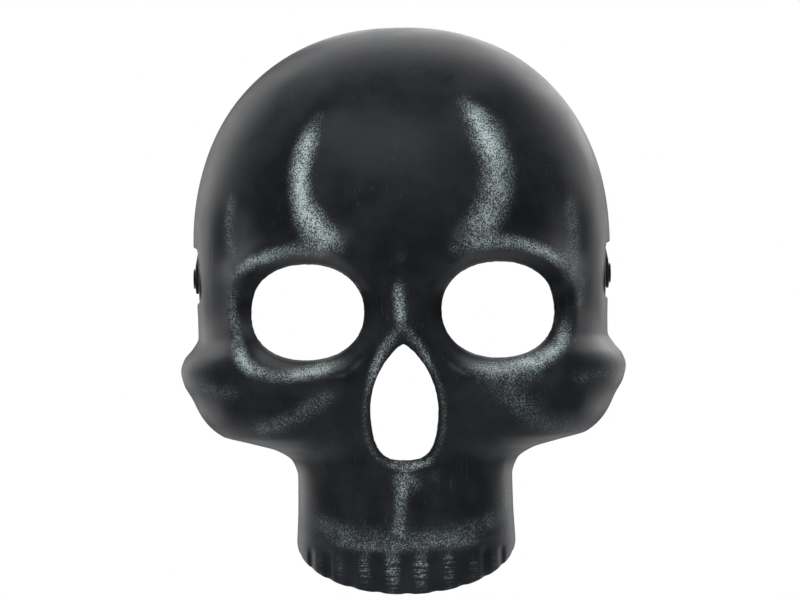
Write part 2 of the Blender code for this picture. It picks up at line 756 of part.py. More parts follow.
def make_pad(name, centre, half, flat_to_y, tree, finish):
    """A foam pad glued inside the shell: its front follows the wall, its back is flat."""
    x, z = centre
    y = float(face_y(np.array([abs(x)]), np.array([z]))[0])
    outward = Vector((0.0, -1.0, 0.0)) if flat_to_y else face_normal(x, z)
    across = Vector((0, 0, 1)).cross(outward).normalized()
    up = outward.cross(across).normalized()
    base = Vector((x, y, z)) - outward * (WALL + PAD_GAP + PAD_THICKNESS)
    if flat_to_y:
        base.y = 0.0
    rings = 4
    count = 2 * ROUND_SEGMENTS
    data = bmesh.new()
    layers = []
    for on_wall in (False, True):
        layer = []
        for r in range(rings + 1):
            ring = []
            for k in range(count if r else 1):
                a = 2 * math.pi * k / count
                u = half[0] * r / rings * abs(math.cos(a)) ** 0.7 * math.copysign(1, math.cos(a))
                v = half[1] * r / rings * abs(math.sin(a)) ** 0.7 * math.copysign(1, math.sin(a))
                point = base + across * u + up * v
                if on_wall:
                    hit = tree.ray_cast(point, outward)[0]
                    point = hit - outward * PAD_GAP
                ring.append(data.verts.new(point))
            layer.append(ring)
        for k in range(count):
            n = (k + 1) % count
            data.faces.new((layer[0][0], layer[1][k], layer[1][n]))
            for one, two in zip(layer[1:], layer[2:]):
                data.faces.new((one[k], two[k], two[n], one[n]))
        layers.append(layer)
    for k in range(count):
        n = (k + 1) % count
        data.faces.new((layers[0][-1][k], layers[0][-1][n], layers[1][-1][n], layers[1][-1][k]))
    bmesh.ops.recalc_face_normals(data, faces=data.faces)
    made = add_object(name, data, finish)
    shade_round(made)
    return made


def build():
    """Make every piece in its place."""
    for old in list(bpy.data.objects):
        bpy.data.objects.remove(old, do_unlink=True)
    shell_finish = material("satin black with silver dry brush", (0.030, 0.032, 0.035), 0.42)
    elastic = material("black elastic", (0.018, 0.018, 0.020), 0.85)
    enamel = material("black enamelled brass", (0.025, 0.025, 0.027), 0.35, 0.8)
    steel = material("steel washer", (0.50, 0.50, 0.50), 0.35, 1.0)
    moulded = material("black moulded plastic", (0.022, 0.022, 0.024), 0.38)
    foam = material("charcoal foam", (0.060, 0.060, 0.065), 0.95)

    shell = make_shell(shell_finish)
    graph = bpy.context.evaluated_depsgraph_get()
    tree = BVHTree.FromObject(shell, graph)
    for side, name in ((-1, "left"), (1, "right")):
        make_rivet(f"{name}_rivet", side, enamel)
        make_washer(f"{name}_washer", side, steel)
        x, z = CHEEK_PAD_CENTRE
        make_pad(f"{name}_cheek_pad", (side * x, z), CHEEK_PAD_HALF, False, tree, foam)
    make_pad("forehead_pad", (0.0, FOREHEAD_PAD_Z), FOREHEAD_PAD_HALF, True, tree, foam)

    pivot = bpy.data.objects.new("strap_pivot", None)
    bpy.context.scene.collection.objects.link(pivot)
    pivot.location = (0, rivet_y(), RIVET_Z)
    pivot.rotation_euler = (math.radians(STRAP_RISE_DEG), 0, 0)
    make_left_strap(pivot, elastic)
    make_right_strap(pivot, elastic)
    make_tail(pivot, elastic)
    make_slider(pivot, moulded)


build()
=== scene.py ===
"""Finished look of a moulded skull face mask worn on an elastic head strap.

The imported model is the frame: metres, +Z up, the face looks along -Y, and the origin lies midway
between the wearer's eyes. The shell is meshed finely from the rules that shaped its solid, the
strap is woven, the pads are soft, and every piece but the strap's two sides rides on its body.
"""
import json
import logging
import math
from dataclasses import dataclass
from enum import Enum

import bmesh
import bpy
import numpy as np
from mathutils import Matrix, Vector, noise
from mathutils.geometry import delaunay_2d_cdt
from mathutils.kdtree import KDTree


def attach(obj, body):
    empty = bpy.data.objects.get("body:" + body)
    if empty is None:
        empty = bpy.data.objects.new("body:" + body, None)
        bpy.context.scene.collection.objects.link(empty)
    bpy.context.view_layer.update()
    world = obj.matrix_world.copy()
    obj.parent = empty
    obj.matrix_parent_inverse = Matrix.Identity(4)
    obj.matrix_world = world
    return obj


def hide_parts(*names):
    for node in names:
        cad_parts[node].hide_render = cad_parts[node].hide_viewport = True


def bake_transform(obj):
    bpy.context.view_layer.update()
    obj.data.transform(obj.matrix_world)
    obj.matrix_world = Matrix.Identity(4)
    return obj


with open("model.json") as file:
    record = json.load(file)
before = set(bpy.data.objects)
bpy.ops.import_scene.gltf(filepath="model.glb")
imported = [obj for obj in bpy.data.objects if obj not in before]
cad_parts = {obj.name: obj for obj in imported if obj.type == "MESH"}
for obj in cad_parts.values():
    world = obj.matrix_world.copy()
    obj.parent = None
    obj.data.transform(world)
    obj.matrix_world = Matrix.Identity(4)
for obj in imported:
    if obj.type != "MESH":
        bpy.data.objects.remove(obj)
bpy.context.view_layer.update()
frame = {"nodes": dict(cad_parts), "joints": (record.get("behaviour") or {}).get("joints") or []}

LOG = logging.getLogger("mask")
Points = np.ndarray
Outline = tuple[tuple[float, float], ...]


class Body(Enum):
    """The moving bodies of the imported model."""

    SHELL = "shell"
    STRAP = "strap"
    SLIDER = "slider"


class Slot(Enum):
    """The record's material slots."""

    SHELL = "shell"
    ELASTIC = "elastic"
    RIVET = "rivet"
    WASHER = "washer"
    SLIDER = "slider"
    FOAM = "foam"


class Side(Enum):
    """Which half of the mask a piece is on; the value is the sign of its X."""

    LEFT = -1
    RIGHT = 1

    @property
    def word(self) -> str:
        """The side's name as the nodes spell it."""
        return self.name.lower()


def smooth_step(low: float, high: float, value: Points) -> Points:
    """Ease from 0 to 1.

    Args:
        low: where it leaves 0.
        high: where it reaches 1.
        value: the places to read.

    Returns:
        0 below low, 1 above high, smooth between.
    """
    t = np.clip((value - low) / (high - low), 0.0, 1.0)
    return t * t * (3 - 2 * t)


def curve_through(points: Outline, at: Points) -> Points:
    """Read a monotone cubic.

    Args:
        points: (key, value) pairs whose keys fall.
        at: the keys to read.

    Returns:
        The curve's values at those keys.
    """
    keys = np.array([p[0] for p in points])[::-1]
    values = np.array([p[1] for p in points])[::-1]
    step = np.diff(keys)
    slope = np.diff(values) / step
    tangent = np.zeros(len(keys))
    tangent[0] = slope[0]
    tangent[-1] = slope[-1]
    for i in range(1, len(keys) - 1):
        if slope[i - 1] * slope[i] > 0:
            tangent[i] = 2 * slope[i - 1] * slope[i] / (slope[i - 1] + slope[i])
    at = np.clip(at, keys[0], keys[-1])
    i = np.clip(np.searchsorted(keys, at) - 1, 0, len(step) - 1)
    t = (at - keys[i]) / step[i]
    low = values[i] * (1 + 2 * t) * (1 - t) ** 2 + tangent[i] * step[i] * t * (1 - t) ** 2
    high = values[i + 1] * t * t * (3 - 2 * t) + tangent[i + 1] * step[i] * t * t * (t - 1)
    return low + high


def spline_through(points: Outline, steps: int = 8) -> Points:
    """Round an open polyline.

    Args:
        points: the places it passes through.
        steps: points for each span.

    Returns:
        The rounded line's points, n by 2.
    """
    p = np.array([points[0], *points, points[-1]], float)
    t = np.linspace(0, 1, steps, endpoint=False)[:, None]
    spans = []
    for a, b, c, d in zip(p, p[1:], p[2:], p[3:]):
        spans.append(0.5 * (2 * b + (c - a) * t + (2 * a - 5 * b + 4 * c - d) * t ** 2
                            + (3 * b - a - 3 * c + d) * t ** 3))
    return np.concatenate([*spans, p[-1:]])


def even_steps(points: Points, spacing: float, keep: tuple[int, ...] = ()) -> Points:
    """Space points evenly along a polyline.

    Args:
        points: the polyline, n by 2 or n by 3.
        spacing: the wanted distance between points.
        keep: indices of points that stay.

    Returns:
        The new points, both ends included.
    """
    marks = sorted({0, len(points) - 1, *keep})
    length = np.concatenate([[0], np.cumsum(np.linalg.norm(np.diff(points, axis=0), axis=1))])
    places = []
    for a, b in zip(marks, marks[1:]):
        count = max(1, round((length[b] - length[a]) / spacing))
        places.append(np.linspace(length[a], length[b], count, endpoint=False))
    at = np.concatenate([*places, length[-1:]])
    return np.stack([np.interp(at, length, points[:, k]) for k in range(points.shape[1])], 1)


def from_line(x: Points, z: Points, line: Points) -> tuple[Points, Points]:
    """Measure from a flat open line.

    Args:
        x: X of the places.
        z: Z of the places.
        line: the line's points, n by 2.

    Returns:
        Distance from the line, and how far along it the nearest point is, from 0 to 1.
    """
    nearest = np.full(np.shape(x), 1e9)
    along = np.zeros(np.shape(x))
    length = np.linalg.norm(np.diff(line, axis=0), axis=1)
    total = length.sum()
    start = 0.0
    for (ax, az), (bx, bz), span in zip(line, line[1:], length):
        dx = bx - ax
        dz = bz - az
        t = np.clip(((x - ax) * dx + (z - az) * dz) / (span * span), 0, 1)
        away = np.hypot(x - ax - t * dx, z - az - t * dz)
        closer = away < nearest
        nearest = np.where(closer, away, nearest)
        along = np.where(closer, (start + t * span) / total, along)
        start += span
    return nearest, along


def link_object(name: str, mesh: bpy.types.Mesh, finish: bpy.types.Material) -> bpy.types.Object:
    """Put a mesh in the scene.

    Args:
        name: the piece's name.
        mesh: its mesh, already in place.
        finish: its material.

    Returns:
        The new object, at the origin.
    """
    made = bpy.data.objects.new(name, mesh)
    mesh.materials.clear()
    mesh.materials.append(finish)
    bpy.context.scene.collection.objects.link(made)
    return made


def mesh_from(name: str, points: Points, faces: list[tuple[int, ...]]) -> bpy.types.Mesh:
    """Make a smooth mesh.

    Args:
        name: the mesh's name.
        points: its vertices, n by 3.
        faces: its faces as vertex indices.

    Returns:
        The mesh.
    """
    mesh = bpy.data.meshes.new(name)
    mesh.from_pydata([tuple(p) for p in points], [], faces)
    mesh.shade_smooth()
    mesh.validate()
    return mesh


def set_attribute(mesh: bpy.types.Mesh, name: str, values: Points) -> None:
    """Store one number for each vertex.

    Args:
        mesh: the mesh that gets the attribute.
        name: the attribute's name.
        values: one number for each vertex.
    """
    made = mesh.attributes.new(name, "FLOAT", "POINT")
    made.data.foreach_set("value", np.asarray(values, np.float32))


def settle(piece: bpy.types.Object) -> bpy.types.Object:
    """Apply every modifier.

    Args:
        piece: an object whose mesh is to become final.

    Returns:
        The same object with plain mesh data and no modifiers.
    """
    bpy.context.view_layer.update()
    graph = bpy.context.evaluated_depsgraph_get()
    made = bpy.data.meshes.new_from_object(piece.evaluated_get(graph))
    piece.modifiers.clear()
    piece.data = made
    return piece


def dress(piece: bpy.types.Object, body: Body, slot: Slot, *nodes: str) -> bpy.types.Object:
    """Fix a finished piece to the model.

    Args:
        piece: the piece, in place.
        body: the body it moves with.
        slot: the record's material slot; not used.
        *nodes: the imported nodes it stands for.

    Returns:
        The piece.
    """
    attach(piece, body.value)
    if nodes:
        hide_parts(*nodes)
    LOG.info("%s: %d faces on %s", piece.name, len(piece.data.polygons), body.value)
    return piece


@dataclass(frozen=True)
class Relief:
    """A soft crest on the right half of the face, or a hollow where its height is negative."""

    path: Outline
    height: float
    width: float


@dataclass(frozen=True)
class FaceForm:
    """The rule for the shell's outer face, with the sizes that shaped its solid."""

    dome_half_width: float = 0.0822
    dome_centre_z: float = 0.025
    dome_height: float = 0.0868
    dome_power: float = 2.2
    cheek_half_width: float = 0.0872
    jaw_half_width: float = 0.0424
    depth: float = 0.080
    front_y: float = -0.0085
    rim_sine: float = 0.9976
    temple: tuple[float, float] = (-0.0096, 0.0806)
    cheek_outline: Outline = ((-0.0140, 0.950), (-0.0180, 0.986), (-0.0223, 1.000),
                              (-0.0275, 0.987), (-0.0332, 0.950), (-0.0410, 0.902),
                              (-0.0480, 0.815), (-0.0510, 0.690))
    jaw_outline: Outline = ((-0.0540, 1.170), (-0.0580, 1.030), (-0.0640, 0.982),
                            (-0.0750, 0.984), (-0.0890, 1.000))
    tooth_edge_z: float = -0.0890
    tooth_edge_drop: float = 0.0188
    midline: Outline = ((0.025, 0.0), (0.014, 0.0020), (0.006, 0.0042), (-0.004, 0.0030),
                        (-0.0115, 0.0012), (-0.035, 0.0040), (-0.058, 0.0085),
                        (-0.070, 0.0095), (-0.082, 0.0080), (-0.094, 0.0078), (-0.109, 0.0095))
    rim_depth: Outline = ((0.025, 1.00), (-0.008, 0.96), (-0.022, 0.82), (-0.040, 0.76),
                          (-0.052, 0.69), (-0.062, 0.63), (-0.109, 0.60))
    eye_x: float = 0.0370
    eye_half_width: float = 0.0222
    eye_half_height: float = 0.0183
    eye_power: float = 2.15
    socket_depth: float = 0.0085
    socket_start: float = 0.92
    socket_reach: float = 1.42
    relief: tuple[Relief, ...] = (
        Relief(((0.014, 0.012), (0.024, 0.0235), (0.050, 0.0245), (0.064, 0.0165)), 0.0034,
               0.0055),
        Relief(((0.028, 0.078), (0.0365, 0.062), (0.038, 0.050), (0.033, 0.034), (0.024, 0.026)),
               0.0018, 0.0085),
        Relief(((0.066, 0.034), (0.070, 0.002)), -0.0035, 0.0080),
        Relief(((0.0, 0.016), (0.0, -0.016)), 0.0042, 0.0070),
        Relief(((0.024, -0.0255), (0.037, -0.0265), (0.055, -0.023)), 0.0030, 0.0050),
        Relief(((0.024, -0.0285), (0.044, -0.0395), (0.066, -0.0400)), 0.0040, 0.0085),
        Relief(((0.022, -0.048), (0.034, -0.056)), -0.0035, 0.0080),
        Relief(((0.0, -0.062), (0.0, -0.082)), 0.0014, 0.0045),
        Relief(((0.0, -0.0875), (0.044, -0.0845)), 0.0016, 0.0034))
    wall_share: float = 0.61
    relief_fade: float = 0.93
    edge_fall: float = 40.0
    nose_top_z: float = -0.0123
    nose_bottom_z: float = -0.0570
    nose_half_width: float = 0.0133
    nose_widest: float = 0.60
    nose_top_power: float = 0.62
    nose_floor_powers: tuple[float, float] = (2.5, 3.2)
    tooth_count: int = 12
    tooth_top_z: float = -0.0900
    tooth_groove: float = 0.0014
    tooth_slope: float = 0.003
    groove_sharpness: int = 6
    centre_z: float = 0.005

    @property
    def centre(self) -> Points:
        """The point from which every place on the face is in plain sight."""
        return np.array([0.0, self.front_y + self.depth, self.centre_z])

    def side_points(self) -> Outline:
        """Height and half width of the outline below the dome."""
        points = [(self.dome_centre_z, self.dome_half_width), self.temple]
        points += [(z, share * self.cheek_half_width) for z, share in self.cheek_outline]
        points += [(z, share * self.jaw_half_width) for z, share in self.jaw_outline]
        return tuple(points)

    def half_width(self, z: Points) -> Points:
        """Half width of the outline at heights below the dome's centre."""
        return curve_through(self.side_points(), z)

    def ridge(self, x: Points, z: Points, points: Outline, width: float) -> Points:
        """Read a soft ridge.

        Args:
            x: X of the places, mirrored already.
            z: Z of the places.
            points: the ridge's crest.
            width: how wide it is.

        Returns:
            1 on the crest, falling to 0 beside it.
        """
        away, _ = from_line(x, z, np.array(points))
        return np.exp(-(away / width) ** 2)

    def eye_share(self, x: Points, z: Points) -> Points:
        """Distance from the eye's centre as a share of the eye hole's own radius."""
        across = np.abs(x - self.eye_x) / self.eye_half_width
        up = np.abs(z) / self.eye_half_height
        return (across ** self.eye_power + up ** self.eye_power) ** (1 / self.eye_power)

    def tooth_wave(self, x: Points) -> Points:
        """1 in the grooves between the teeth and 0 on their fronts."""
        share = np.arcsin(np.clip(np.abs(x) / self.jaw_half_width, 0, 1)) / math.pi
        return np.abs(np.cos(share * self.tooth_count * math.pi)) ** self.groove_sharpness

    def features(self, x: Points, z: Points) -> Points:
        """Shape the face's relief.

        Args:
            x: X of the places, mirrored already.
            z: Z of the places.

        Returns:
            How far the sockets, brows, nose, cheeks and jaw stand back from the plain face.
        """
        share = smooth_step(self.socket_start, self.socket_reach, self.eye_share(x, z))
        back = self.socket_depth * (1 - share)
        for crest in self.relief:
            back -= crest.height * self.ridge(x, z, crest.path, crest.width)
        in_teeth = smooth_step(-self.tooth_top_z, self.tooth_slope - self.tooth_top_z, -z)
        return back + self.tooth_groove * self.tooth_wave(x) * in_teeth

    def face_y(self, x: Points, z: Points) -> Points:
        """Y of the outer face at x and z; past the outline it runs on backwards."""
        x = np.abs(x)
        upper = np.maximum(z - self.dome_centre_z, 0) / self.dome_height
        width = np.where(z > self.dome_centre_z, self.dome_half_width, self.half_width(z))
        across = (x / width) ** self.dome_power
        radius = (across + upper ** self.dome_power) ** (1 / self.dome_power)
        inside = np.sqrt(np.clip(1 - (np.minimum(radius, 1) * self.rim_sine) ** 2, 0, 1))
        rim = math.sqrt(1 - self.rim_sine ** 2)
        crown = (inside - rim) / (1 - rim) - self.edge_fall * np.maximum(radius - 1, 0)
        middle = curve_through(self.midline, z)
        depth = self.depth * curve_through(self.rim_depth, z)
        fade = smooth_step(1.0, self.relief_fade, radius)
        return self.front_y + depth - (depth - middle) * crown + self.features(x, z) * fade

    def lift(self, flat: Points) -> Points:
        """Put flat points, n by 2, on the face."""
        return np.stack([flat[:, 0], self.face_y(flat[:, 0], flat[:, 1]), flat[:, 1]], 1)

    def on_face(self, rays: Points) -> Points:
        """Find where rays from the centre meet the face.

        Args:
            rays: unit directions, n by 3.

        Returns:
            The places on the face, n by 3.
        """
        near = np.zeros(len(rays))
        far = np.full(len(rays), 0.3)
        for _ in range(28):
            middle = (near + far) / 2
            at = self.centre + rays * middle[:, None]
            behind = at[:, 1] > self.face_y(at[:, 0], at[:, 2])
            near = np.where(behind, middle, near)
            far = np.where(behind, far, middle)
        return self.centre + rays * near[:, None]

    def side_x(self, y: Points, z: Points) -> Points:
        """X of the plain side wall at y and z."""
        low = np.zeros(len(y))
        high = np.full(len(y), 2 * self.dome_half_width)
        for _ in range(28):
            middle = (low + high) / 2
            short = self.face_y(middle, z) < y
            low = np.where(short, middle, low)
            high = np.where(short, high, middle)
        return low

    def rim_y(self, z: float) -> float:
        """Y of the rim at a height."""
        return self.front_y + self.depth * float(curve_through(self.rim_depth, np.array([z]))[0])

    def to_chart(self, points: Points) -> Points:
        """Flatten places on the face into angles seen from the centre, n by 2."""
        ray = np.atleast_2d(points) - self.centre
        flat = np.hypot(ray[:, 0], ray[:, 2])
        angle = np.arctan2(flat, -ray[:, 1])
        return np.stack([ray[:, 0], ray[:, 2]], 1) * (angle / np.maximum(flat, 1e-9))[:, None]

    def from_chart(self, flat: Points) -> Points:
        """Put chart points back on the face, n by 3."""
        angle = np.hypot(flat[:, 0], flat[:, 1])
        share = np.sin(angle) / np.maximum(angle, 1e-9)
        rays = np.stack([flat[:, 0] * share, -np.cos(angle), flat[:, 1] * share], 1)
        return self.on_face(rays)

    def rim_line(self, spacing: float, tooth_spacing: float, marks_z: tuple[float, ...]) -> Points:
        """Lay points round the whole rim.

        Args:
            spacing: the distance between points.
            tooth_spacing: the same along the tooth edge.
            marks_z: heights at which the side has a point.

        Returns:
            The closed rim's points, n by 3.
        """
        turn = np.linspace(math.pi / 2, 0, 400)
        across = self.dome_half_width * np.clip(np.cos(turn), 0, 1) ** (2 / self.dome_power)
        up = self.dome_centre_z + self.dome_height * np.sin(turn) ** (2 / self.dome_power)
        heights = np.linspace(self.dome_centre_z, self.tooth_edge_z, 800)[1:]
        low = np.linspace(0, math.pi / 2, 200)[1:]
        edge_x = self.jaw_half_width * np.cos(low)
        edge_z = self.tooth_edge_z - self.tooth_edge_drop * np.sin(low)
        flat = np.stack([np.concatenate([across, self.half_width(heights), edge_x]),
                         np.concatenate([up, heights, edge_z])], 1)
        flat[0, 0] = 0.0
        flat[-1, 0] = 0.0
        line = self.lift(flat)
        tooth_start = len(turn) + len(heights) - 1
        side = line[:tooth_start + 1]
        inner = side[:, 0] < self.dome_half_width * self.wall_share
        marks = tuple(int(np.argmin(np.abs(side[:, 2] - z) + inner)) for z in marks_z)
        right = np.concatenate([even_steps(side, spacing, marks)[:-1],
                                even_steps(line[tooth_start:], tooth_spacing)])
        left = right[-2:0:-1] * np.array([-1, 1, 1])
        return np.concatenate([right, left])

    def eye_ring(self, side: Side, spacing: float, share: float = 1.0) -> Points:
        """Flat points round one eye hole at a share of its radius, n by 2."""
        turn = np.linspace(0, 2 * math.pi, 720)
        across = np.abs(np.cos(turn)) ** (2 / self.eye_power) * np.sign(np.cos(turn))
        up = np.abs(np.sin(turn)) ** (2 / self.eye_power) * np.sign(np.sin(turn))
        across *= self.eye_half_width * share
        up *= self.eye_half_height * share
        flat = np.stack([self.eye_x + across, up], 1)
        return even_steps(flat, spacing)[:-1] * np.array([side.value, 1])

    def nose_outline(self, spacing: float) -> Points:
        """Flat points round the nose hole, n by 2."""
        t = (1 - np.cos(np.linspace(0, math.pi, 400))) / 2
        upper = np.sin(math.pi / 2 * np.minimum(t / self.nose_widest, 1)) ** self.nose_top_power
        below = np.clip((t - self.nose_widest) / (1 - self.nose_widest), 0, 1)
        fall, corner = self.nose_floor_powers
        half = self.nose_half_width * np.where(t < self.nose_widest, upper,
                                               (1 - below ** fall) ** (1 / corner))
        z = self.nose_top_z - (self.nose_top_z - self.nose_bottom_z) * t
        right = even_steps(np.stack([half, z], 1), spacing)
        return np.concatenate([right, right[-2:0:-1] * np.array([-1, 1])])


@dataclass(frozen=True)
class StrapSeat:
    """The flat recess pressed into each temple wall for a strap end and its rivet."""

    form: FaceForm
    rivet_z: float = 0.0137
    rivet_from_rim: float = 0.0065
    recess: float = 0.0018
    length: float = 0.0140
    up: float = 0.0112
    down: float = 0.0088
    slope: float = 0.0014
    corner: float = 0.0060
    wall_shares: tuple[float, float] = (0.60, 0.75)

    @property
    def x(self) -> float:
        """Distance of the seat's face from the middle."""
        return float(self.form.half_width(np.array([self.rivet_z]))[0]) - self.recess

    @property
    def rivet_y(self) -> float:
        """Y of the rivets' axes."""
        return self.form.rim_y(self.rivet_z) - self.rivet_from_rim

    @property
    def front_y(self) -> float:
        """Y of the seat's front end."""
        return self.form.rim_y(self.rivet_z) - self.length

    def outside(self, y: Points, z: Points) -> Points:
        """Distance outside the seat's outline, which is open at the rim; 0 inside it."""
        high = self.rivet_z + self.up - self.corner
        low = self.rivet_z - self.down + self.corner
        ahead = np.maximum(self.front_y + self.corner - y, 0)
        off = np.maximum(np.maximum(z - high, low - z), 0)
        return np.maximum(np.hypot(ahead, off) - self.corner, 0)

    def press(self, points: Points) -> Points:
        """Press both seats flat.

        Args:
            points: places on the plain face, n by 3.

        Returns:
            The same places with the seats' recess in them.
        """
        keep = smooth_step(0, self.slope, self.outside(points[:, 1], points[:, 2]))
        out_share = np.abs(points[:, 0]) / self.form.dome_half_width
        near_wall = smooth_step(*self.wall_shares, out_share)
        keep = 1 - (1 - keep) * near_wall
        out = points.copy()
        out[:, 0] = np.sign(points[:, 0]) * (np.abs(points[:, 0]) * keep + self.x * (1 - keep))
        return out

    def outline(self, outward: float, spacing: float) -> Points:
        """Follow the right seat's edge.

        Args:
            outward: how far outside the edge the line runs.
            spacing: the distance between points.

        Returns:
            Points on the plain side wall from just inside the rim and back to it, n by 3.
        """
        reach = self.corner + outward
        high = self.rivet_z + self.up - self.corner
        low = self.rivet_z - self.down + self.corner
        turn = np.linspace(0, math.pi / 2, 24)
        middle_y = self.front_y + self.corner
        flat = [(self.form.rim_y(high + reach) - spacing, high + reach)]
        flat += [(middle_y - reach * math.sin(a), high + reach * math.cos(a)) for a in turn]
        flat += [(middle_y - reach * math.cos(a), low - reach * math.sin(a)) for a in turn]
        flat.append((self.form.rim_y(low - reach) - spacing, low - reach))
        line = even_steps(np.array(flat), spacing)
        return np.stack([self.form.side_x(line[:, 0], line[:, 1]), line[:, 0], line[:, 1]], 1)

    def hole(self, radius: float, count: int) -> Points:
        """Points round the right rivet hole on the plain side wall, n by 3."""
        turn = np.linspace(0, 2 * math.pi, count, endpoint=False)
        y = self.rivet_y + radius * np.cos(turn)
        z = self.rivet_z + radius * np.sin(turn)
        return np.stack([self.form.side_x(y, z), y, z], 1)


@dataclass(frozen=True)
class Stroke:
    """One pull of the dry brush, seen from the front."""

    path: Outline
    width: float
    strength: float
    taper: float = 0.25

    def cover(self, x: Points, z: Points) -> Points:
        """Silver left by the stroke, 0 to 1."""
        away, along = from_line(x, z, spline_through(self.path))
        ends = smooth_step(0, self.taper, along) * smooth_step(1, 1 - self.taper, along)
        return self.strength * np.exp(-(away / self.width) ** 2) * (0.25 + 0.75 * ends)


@dataclass(frozen=True)
class DryBrush:
    """Where the silver was dry-brushed over the black, as seen from the front."""

    strokes: tuple[Stroke, ...] = (
        Stroke(((-0.0305, 0.0745), (-0.0345, 0.0670), (-0.0385, 0.0530), (-0.0360, 0.0375),
                (-0.0250, 0.0262)), 0.0038, 0.84),
        Stroke(((-0.0360, 0.0420), (-0.0330, 0.0310), (-0.0240, 0.0250)), 0.0062, 0.48),
        Stroke(((0.0250, 0.0800), (0.0325, 0.0680), (0.0370, 0.0520), (0.0325, 0.0360),
                (0.0215, 0.0235)), 0.0064, 0.62),
        Stroke(((0.0252, 0.0790), (0.0315, 0.0700), (0.0365, 0.0560)), 0.0030, 0.70),
        Stroke(((-0.0650, 0.0135), (-0.0567, 0.0198), (-0.0475, 0.0228), (-0.0350, 0.0243),
                (-0.0245, 0.0228)), 0.0029, 0.40),
        Stroke(((-0.0645, 0.0152), (-0.0567, 0.0200), (-0.0460, 0.0230)), 0.0018, 0.56),
        Stroke(((0.0200, 0.0232), (0.0340, 0.0258), (0.0460, 0.0250), (0.0560, 0.0213),
                (0.0615, 0.0178), (0.0655, 0.0120)), 0.0029, 0.50),
        Stroke(((0.0440, 0.0254), (0.0560, 0.0213), (0.0620, 0.0172)), 0.0017, 0.46),
        Stroke(((0.0700, 0.0140), (0.0692, 0.0060), (0.0680, -0.0020)), 0.0028, 0.24),
        Stroke(((-0.0650, 0.0500), (-0.0665, 0.0340), (-0.0655, 0.0170)), 0.0032, 0.28),
        Stroke(((0.0648, 0.0480), (0.0665, 0.0300), (0.0645, 0.0090)), 0.0040, 0.30),
        Stroke(((-0.0657, -0.0010), (-0.0640, -0.0095), (-0.0618, -0.0180), (-0.0530, -0.0232),
                (-0.0440, -0.0242), (-0.0350, -0.0226), (-0.0195, -0.0180)), 0.0029, 0.44),
        Stroke(((-0.0650, 0.0120), (-0.0662, 0.0020), (-0.0652, -0.0080)), 0.0030, 0.30),
        Stroke(((-0.0635, -0.0130), (-0.0610, -0.0190), (-0.0560, -0.0225)), 0.0028, 0.50),
        Stroke(((-0.0440, -0.0240), (-0.0350, -0.0226), (-0.0270, -0.0205)), 0.0020, 0.36),
        Stroke(((0.0640, -0.0010), (0.0628, -0.0080), (0.0600, -0.0140), (0.0524, -0.0192),
                (0.0408, -0.0220), (0.0305, -0.0226), (0.0215, -0.0216)), 0.0033, 0.56),
        Stroke(((0.0625, -0.0070), (0.0598, -0.0142), (0.0524, -0.0192), (0.0408, -0.0215)),
               0.0020, 0.46),
        Stroke(((0.0560, -0.0235), (0.0440, -0.0260), (0.0320, -0.0245)), 0.0036, 0.22),
        Stroke(((-0.0015, 0.0120), (-0.0014, 0.0060), (-0.0006, -0.0060)), 0.0024, 0.60),
        Stroke(((-0.0006, -0.0053), (-0.0041, -0.0091), (-0.0080, -0.0145), (-0.0110, -0.0215),
                (-0.0132, -0.0290)), 0.0019, 0.42),
        Stroke(((-0.0006, -0.0053), (0.0034, -0.0091), (0.0072, -0.0145), (0.0100, -0.0215)),
               0.0018, 0.36),
        Stroke(((-0.0220, -0.0270), (-0.0330, -0.0345), (-0.0460, -0.0420), (-0.0640, -0.0465)),
               0.0046, 0.27),
        Stroke(((0.0350, -0.0250), (0.0430, -0.0360), (0.0540, -0.0450), (0.0720, -0.0450)),
               0.0054, 0.20),
        Stroke(((0.0200, -0.0260), (0.0400, -0.0330), (0.0620, -0.0350)), 0.0060, 0.12),
        Stroke(((-0.0600, -0.0300), (-0.0720, -0.0300), (-0.0850, -0.0250)), 0.0046, 0.22),
        Stroke(((0.0600, -0.0270), (0.0740, -0.0260), (0.0860, -0.0200)), 0.0044, 0.20),
        Stroke(((-0.0010, -0.0600), (-0.0020, -0.0720), (-0.0030, -0.0880)), 0.0025, 0.32),
        Stroke(((0.0015, -0.0585), (0.0005, -0.0650), (-0.0010, -0.0720)), 0.0062, 0.36, 0.5),
        Stroke(((0.0110, -0.0600), (0.0125, -0.0660)), 0.0034, 0.16),
        Stroke(((-0.0075, -0.0574), (0.0020, -0.0586), (0.0110, -0.0576)), 0.0011, 0.62, 0.3),
        Stroke(((-0.0400, -0.0790), (-0.0200, -0.0850), (0.0, -0.0865), (0.0200, -0.0850),
                (0.0400, -0.0780)), 0.0050, 0.25, 0.1),
        Stroke(((-0.0300, -0.0880), (-0.0120, -0.0900), (0.0080, -0.0895), (0.0300, -0.0885)),
               0.0022, 0.20, 0.1),
        Stroke(((0.0405, -0.0550), (0.0385, -0.0660), (0.0395, -0.0800)), 0.0020, 0.22),
        Stroke(((-0.0430, -0.0560), (-0.0405, -0.0660), (-0.0405, -0.0800)), 0.0020, 0.18),
    )
    nose_rim_out: float = 0.0018
    nose_rim_width: float = 0.0014
    nose_rim_strength: float = 0.26
    tooth_narrow: float = 2.6
    tooth_bright_z: float = 0.0965
    tooth_fade: float = 0.45
    tooth_strength: float = 0.20
    centre_tooth_strength: float = 0.40
    centre_tooth_reach: float = 0.0170

